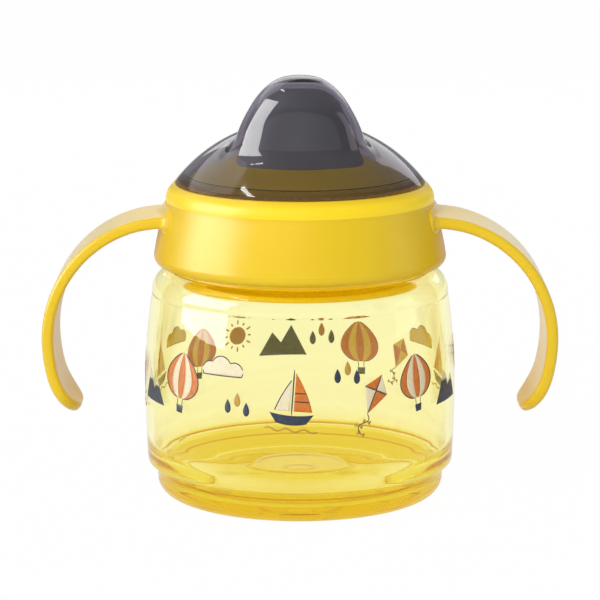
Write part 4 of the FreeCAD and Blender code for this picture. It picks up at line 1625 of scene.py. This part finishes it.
@dataclass
class Handle:
    """Open strap handle: two tangent arcs and a tighter one at its free end."""

    collar: Collar
    side: int = 1               # 1 on the +X side, -1 on the -X side
    root_x: float = 33.3
    root_z: float = 70.4
    arcs: tuple[Pair, ...] = ((29.8, 90.0), (40.0, 13.5), (17.0, 39.0))     # radius, turn in degrees
    thick: float = 2.9
    root_width: float = 22.0
    width: float = 25.0
    end_width: float = 21.0
    end_round: float = 8.5
    edge_round: float = 1.1
    root_round: float = 2.0
    hidden: float = 2.2         # length of the root inside the collar's wall
    flared: float = 3.2         # length of the close rows outside that wall
    wrapped: float = 8.0        # length over which the root follows the collar's curve
    waist: Pair = (0.35, 0.35)  # first bend: share of the way to the middle, and extra half width
    middle: float = 0.52        # place of the widest point, as a share of the length
    bends: Pair = (60.0, 45.0)  # rounds at those two points
    step: float = 0.8           # largest distance between points of the outline
    root_rows: int = 22
    edge_rows: int = 7
    flat_rows: int = 8

    def wall(self) -> float:
        """Radius of the collar's wall at the height of the root."""
        return float(self.collar.skirt_radius(self.root_z))

    def start_x(self) -> float:
        """Place of the root's hidden end, inside the collar's wall."""
        return self.wall() - self.hidden

    def path(self, s: Array) -> tuple[Array, Array, Array, Array]:
        """Centreline by its length: a straight root, then three arcs, each tangent to the last.

        Args:
            s: Lengths from the root's hidden end.

        Returns:
            x, z and the outward normal's x and z.
        """
        x, z, angle = self.start_x() + s, np.full_like(s, self.root_z), np.full_like(s, math.pi / 2)
        start, turned, end_x, end_z = self.root_x - self.start_x(), math.pi / 2, self.root_x, self.root_z
        for radius, degrees in self.arcs:
            centre_x, centre_z = end_x - radius * math.cos(turned), end_z - radius * math.sin(turned)
            on = s > start
            angle[on] = turned - (s[on] - start) / radius
            x[on], z[on] = centre_x + radius * np.cos(angle[on]), centre_z + radius * np.sin(angle[on])
            start, turned = start + radius * math.radians(degrees), turned - math.radians(degrees)
            end_x, end_z = centre_x + radius * math.cos(turned), centre_z + radius * math.sin(turned)
        return x, z, np.cos(angle), np.sin(angle)

    def length(self) -> float:
        """Length of the centreline from the hidden root to the free end."""
        return self.root_x - self.start_x() + sum(radius * math.radians(turn) for radius, turn in self.arcs)

    def outline(self) -> Array:
        """Outline of the flattened strap, from one side of its root round the end to the other.

        Returns:
            (length, half width) rows.
        """
        end, root, root_end = self.length(), self.root_width / 2, self.hidden + self.flared
        middle = end * self.middle
        share, extra = self.waist
        half = finer(rounded([(0, root, 0), (middle * share, root + extra, self.bends[0]),
                              (middle, self.width / 2, self.bends[1]),
                              (end, self.end_width / 2, self.end_round), (end, 0, 0)], 26), self.step)
        near = np.append(np.linspace(0, root_end, self.root_rows), root_end + self.step / 2)
        first = np.flatnonzero(half[:, 0] > near[-1])[0]
        near = np.stack([near, np.interp(near, *half[:first + 1].T)], 1)
        half = np.concatenate([near, half[first:]])
        return np.concatenate([half, half[-2::-1] * [1, -1]])

    def build(self) -> Piece:
        """Carry the strap's half section inwards from its outline, and flare its root.

        A point lies at a distance d inside the outline and at a height t(d), which is round over
        the first millimetre and then level. Near the collar it moves out along the section's
        normal by r(1 - sqrt(1 - (1 - gap / r)^2)), which is a round that meets both walls.

        Returns:
            The handle's object.
        """
        edge = self.outline()
        spine = np.stack([np.minimum(edge[:, 0], self.length() - self.end_width / 2), 0 * edge[:, 1]], 1)
        depth = np.linalg.norm(spine - edge, axis=1)
        t = np.linspace(0, math.pi / 2, self.edge_rows)
        flat = np.arange(1, self.flat_rows + 1) / self.flat_rows
        d = np.concatenate([self.edge_round * (1 - np.cos(t))[:, None] + 0 * depth,
                            self.edge_round + (depth - self.edge_round) * flat[:, None]])
        d = np.concatenate([d[::-1], d])
        h, lift, push = (np.concatenate([part[::-1], sign * part])[:, None] for sign, part in (
            (-1, self.thick / 2 - self.edge_round * (1 - np.sin(np.append(t, 0 * flat + math.pi / 2)))),
            (-1, np.append(np.sin(t), np.ones_like(flat))), (1, np.append(np.cos(t), 0 * flat))))
        inward = (spine - edge) / depth[:, None]
        s, y = edge[:, 0] + inward[:, 0] * d, edge[:, 1] + inward[:, 1] * d
        x, z, normal_x, normal_z = self.path(s)
        wall = self.wall()
        x = x - (wall - np.sqrt(wall ** 2 - y ** 2)) * np.clip(1 - s / self.wrapped, 0, 1)
        x, z = x + normal_x * h, z + normal_z * h
        skirt = np.sqrt(np.clip(self.collar.skirt_radius(z) ** 2 - y ** 2, 0, None))
        gap = np.clip((x - skirt) / self.root_round, 0, 1)
        flare = self.root_round * (1 - np.sqrt(1 - (1 - gap) ** 2))
        z = z + flare * lift * np.abs(normal_z)
        y = y + flare * push * np.sign(edge[:, 1])
        name = "Handle_right" if self.side > 0 else "Handle_left"
        return tidy(grid_object(name, np.stack([self.side * x, y, z], -1), wrap_columns=False), close=True)


# ------------------------------------------------------------------ seal
@dataclass
class SealRing:
    """Soft flat ring with rounded edges between the tumbler's lip and the collar."""

    inner: float = 29.75
    outer: float = 31.85
    bottom: float = 75.02
    top: float = 76.58
    edge_round: float = 0.3
    columns: int = 256

    def build(self) -> Piece:
        """Turn the ring's section.

        Returns:
            The ring's object.
        """
        corners = ((self.inner, self.bottom), (self.outer, self.bottom), (self.outer, self.top),
                   (self.inner, self.top))
        line = rounded([(*corner, self.edge_round) for corner in corners], 5, closed=True)
        return grid_object("Seal_ring", turned_grid(line, self.columns), wrap_rows=True)


# ------------------------------------------------------------------ studio
@dataclass(frozen=True)
class Lamp:
    """Rectangular soft lamp that faces the cup's middle."""

    name: str
    azimuth: float              # bearing in degrees, from -Y towards +X
    elevation: float            # angle above the cup's middle, in degrees
    size: Pair                  # width and height, in metres
    power: float                # watts
    lights: bool = True         # whether it lights matt surfaces, or is only a card that gloss reflects
    reflects: bool = True       # whether gloss reflects it
    distance: float = 0.9
    middle: float = 0.06        # height of the cup's middle, in metres

    def build(self) -> None:
        """Hang the lamp, unseen through clear plastic."""
        data = bpy.data.lights.new(self.name, "AREA")
        data.shape = "RECTANGLE"
        data.size, data.size_y = self.size
        data.energy = self.power
        lamp = bpy.data.objects.new(self.name, data)
        lamp.visible_diffuse, lamp.visible_glossy = self.lights, self.reflects
        lamp.visible_transmission = False
        turn, rise = math.radians(self.azimuth), math.radians(self.elevation)
        flat, up = self.distance * math.cos(rise), self.distance * math.sin(rise)
        lamp.location = (flat * math.sin(turn), -flat * math.cos(turn), self.middle + up)
        lamp.rotation_euler = (math.pi / 2 - rise, 0.0, turn)
        bpy.context.scene.collection.objects.link(lamp)


LAMPS = (Lamp("key", -37, 36, (0.8, 0.45), 3.3, reflects=False),
         Lamp("fill", -12, 25, (0.5, 0.5), 1.6, reflects=False),
         Lamp("left card", -78, 17, (0.76, 0.65), 16.0, lights=False),
         Lamp("top card", -76, 58, (0.24, 0.035), 0.4, lights=False),
         Lamp("right card", 86, 9, (0.34, 0.36), 0.45, lights=False),
         Lamp("rear card", -135, 42, (0.9, 0.6), 1.8, lights=False),
         Lamp("back", 172, 28, (0.9, 0.5), 1.8))


@dataclass
class Studio:
    """Pale floor, white surround, soft lamps and the camera."""

    camera_distance: float = 0.7144
    camera_height: float = 0.1889
    camera_tilt: float = 78.91
    lens: float = 172.7
    mirrored: float = 0.3       # level at which gloss reflects the surround
    surround: float = 0.52      # level at which the surround lights the object
    floor_reach: float = 6000.0
    floor_grey: float = 0.82
    floor_glow: float = 0.985   # share of the floor that shines white to the eye
    floor_mirrored: float = 0.5     # the same for a reflection
    bounces: int = 64           # enough for the many walls of clear plastic behind each other

    def camera(self) -> None:
        """Put the camera in front of the spout, looking a little down."""
        data = bpy.data.cameras.new("camera")
        data.lens = self.lens
        data.clip_start = 0.01
        camera = bpy.data.objects.new("camera", data)
        camera.location = (0.0, -self.camera_distance, self.camera_height)
        camera.rotation_euler = (math.radians(self.camera_tilt), 0.0, 0.0)
        bpy.context.scene.collection.objects.link(camera)
        bpy.context.scene.camera = camera

    @staticmethod
    def seen(tree: Tree, rays: bpy.types.NodeOutputs, gloss: float) -> Socket:
        """Whether a ray comes from the eye or clear plastic, or in part from a reflection.

        Args:
            tree: Node tree of the material or of the world.
            rays: Results of its light path node.
            gloss: Share for a reflection.

        Returns:
            1 for a ray from the eye or through clear plastic, the share for a reflection, or 0.
        """
        part = tree.add("Math", rays["Is Glossy Ray"], gloss, operation="MULTIPLY")
        return tree.highest(rays["Is Camera Ray"], part.outputs[0], rays["Is Transmission Ray"])

    def world(self) -> None:
        """White surround to the eye and through clear plastic; softer as a light and in gloss."""
        world = bpy.data.worlds.new("surround")
        bpy.context.scene.world = world
        world.use_nodes = True
        tree = Tree(world.node_tree)
        rays = tree.add("LightPath").outputs
        level = tree.add("MapRange", Value=rays["Is Glossy Ray"], To_Min=self.surround, To_Max=self.mirrored)
        strength = tree.add("Mix", Factor=self.seen(tree, rays, 0.0), A=level.outputs["Result"], B=1.0)
        background = tree.nodes["Background"].inputs
        tree.put(background["Color"], (1.0, 1.0, 1.0))
        tree.put(background["Strength"], strength.outputs["Result"])

    def floor(self) -> None:
        """Pale floor that shows white but for the object's soft shadow."""
        corners = self.floor_reach * np.array([[-1, -1, 0], [1, -1, 0], [1, 1, 0], [-1, 1, 0]], float)
        floor = mesh_object("floor", corners, [np.array([[0, 1, 2, 3]])])
        shader = Shader("pale floor")
        shader.set(Base_Color=(self.floor_grey,) * 3, Roughness=0.9, Specular_IOR_Level=0.0)
        seen = self.seen(shader, shader.add("LightPath").outputs, self.floor_mirrored)
        share = shader.add("Math", seen, self.floor_glow, operation="MULTIPLY").outputs[0]
        mix = shader.add("MixShader", share, shader.principled.outputs[0], shader.add("Emission").outputs[0])
        shader.links.new(mix.outputs[0], shader.output.inputs["Surface"])
        floor.data.materials.append(shader.material)

    def build(self) -> None:
        """Make the camera, the surround, the floor and the lamps, and let light pass clear walls."""
        self.camera()
        self.world()
        self.floor()
        for lamp in LAMPS:
            lamp.build()
        paths = bpy.context.scene.cycles
        paths.max_bounces = paths.glossy_bounces = paths.transmission_bounces = self.bounces


def main() -> None:
    """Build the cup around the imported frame, piece by piece."""
    logging.basicConfig(level=logging.INFO, format="%(name)s: %(message)s")
    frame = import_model()
    bpy.context.scene.view_settings.view_transform = "Standard"
    for name in ("Cube", "Light", "Camera"):
        if name in bpy.data.objects:
            bpy.data.objects.remove(bpy.data.objects[name])
    Studio().build()
    yellow, pale = YELLOW.make(), PALE_SILICONE.make()

    tumbler = Tumbler()
    finish_piece(tumbler.build(), Body.TUMBLER, Slot.BODY, CLEAR_YELLOW.make(), "tumbler")
    for hue, piece in Print(tumbler).build().items():
        finish_piece(piece, Body.TUMBLER, Slot.BODY, hue.value.make())
    finish_piece(TravelCap().build(), Body.CAP, Slot.CAP, SMOKY.make(), "travel_cap")
    finish_piece(Spout().build(), Body.SPOUT, Slot.SPOUT, GREY_SILICONE.make(), "spout")
    collar, strap = Collar(), STRAP_YELLOW.make()
    dressed = [(piece, yellow) for piece in (collar.shell(), collar.well(), collar.vent_boss())]
    dressed += [(Handle(collar, side).build(), strap) for side in (1, -1)]
    for piece, material in dressed:
        finish_piece(piece, Body.COLLAR, Slot.COLLAR, material, "handle_collar")
    finish_piece(SealRing().build(), Body.SEAL, Slot.SEAL, pale, "seal_ring")
    for node, material in (("valve_housing", WHITE.make()), ("slit_valve", pale), ("vent_valve", pale)):
        frame["nodes"][node].data.materials.clear()
        frame["nodes"][node].data.materials.append(material)

    bpy.context.view_layer.update()


if __name__ == "__main__":
    main()
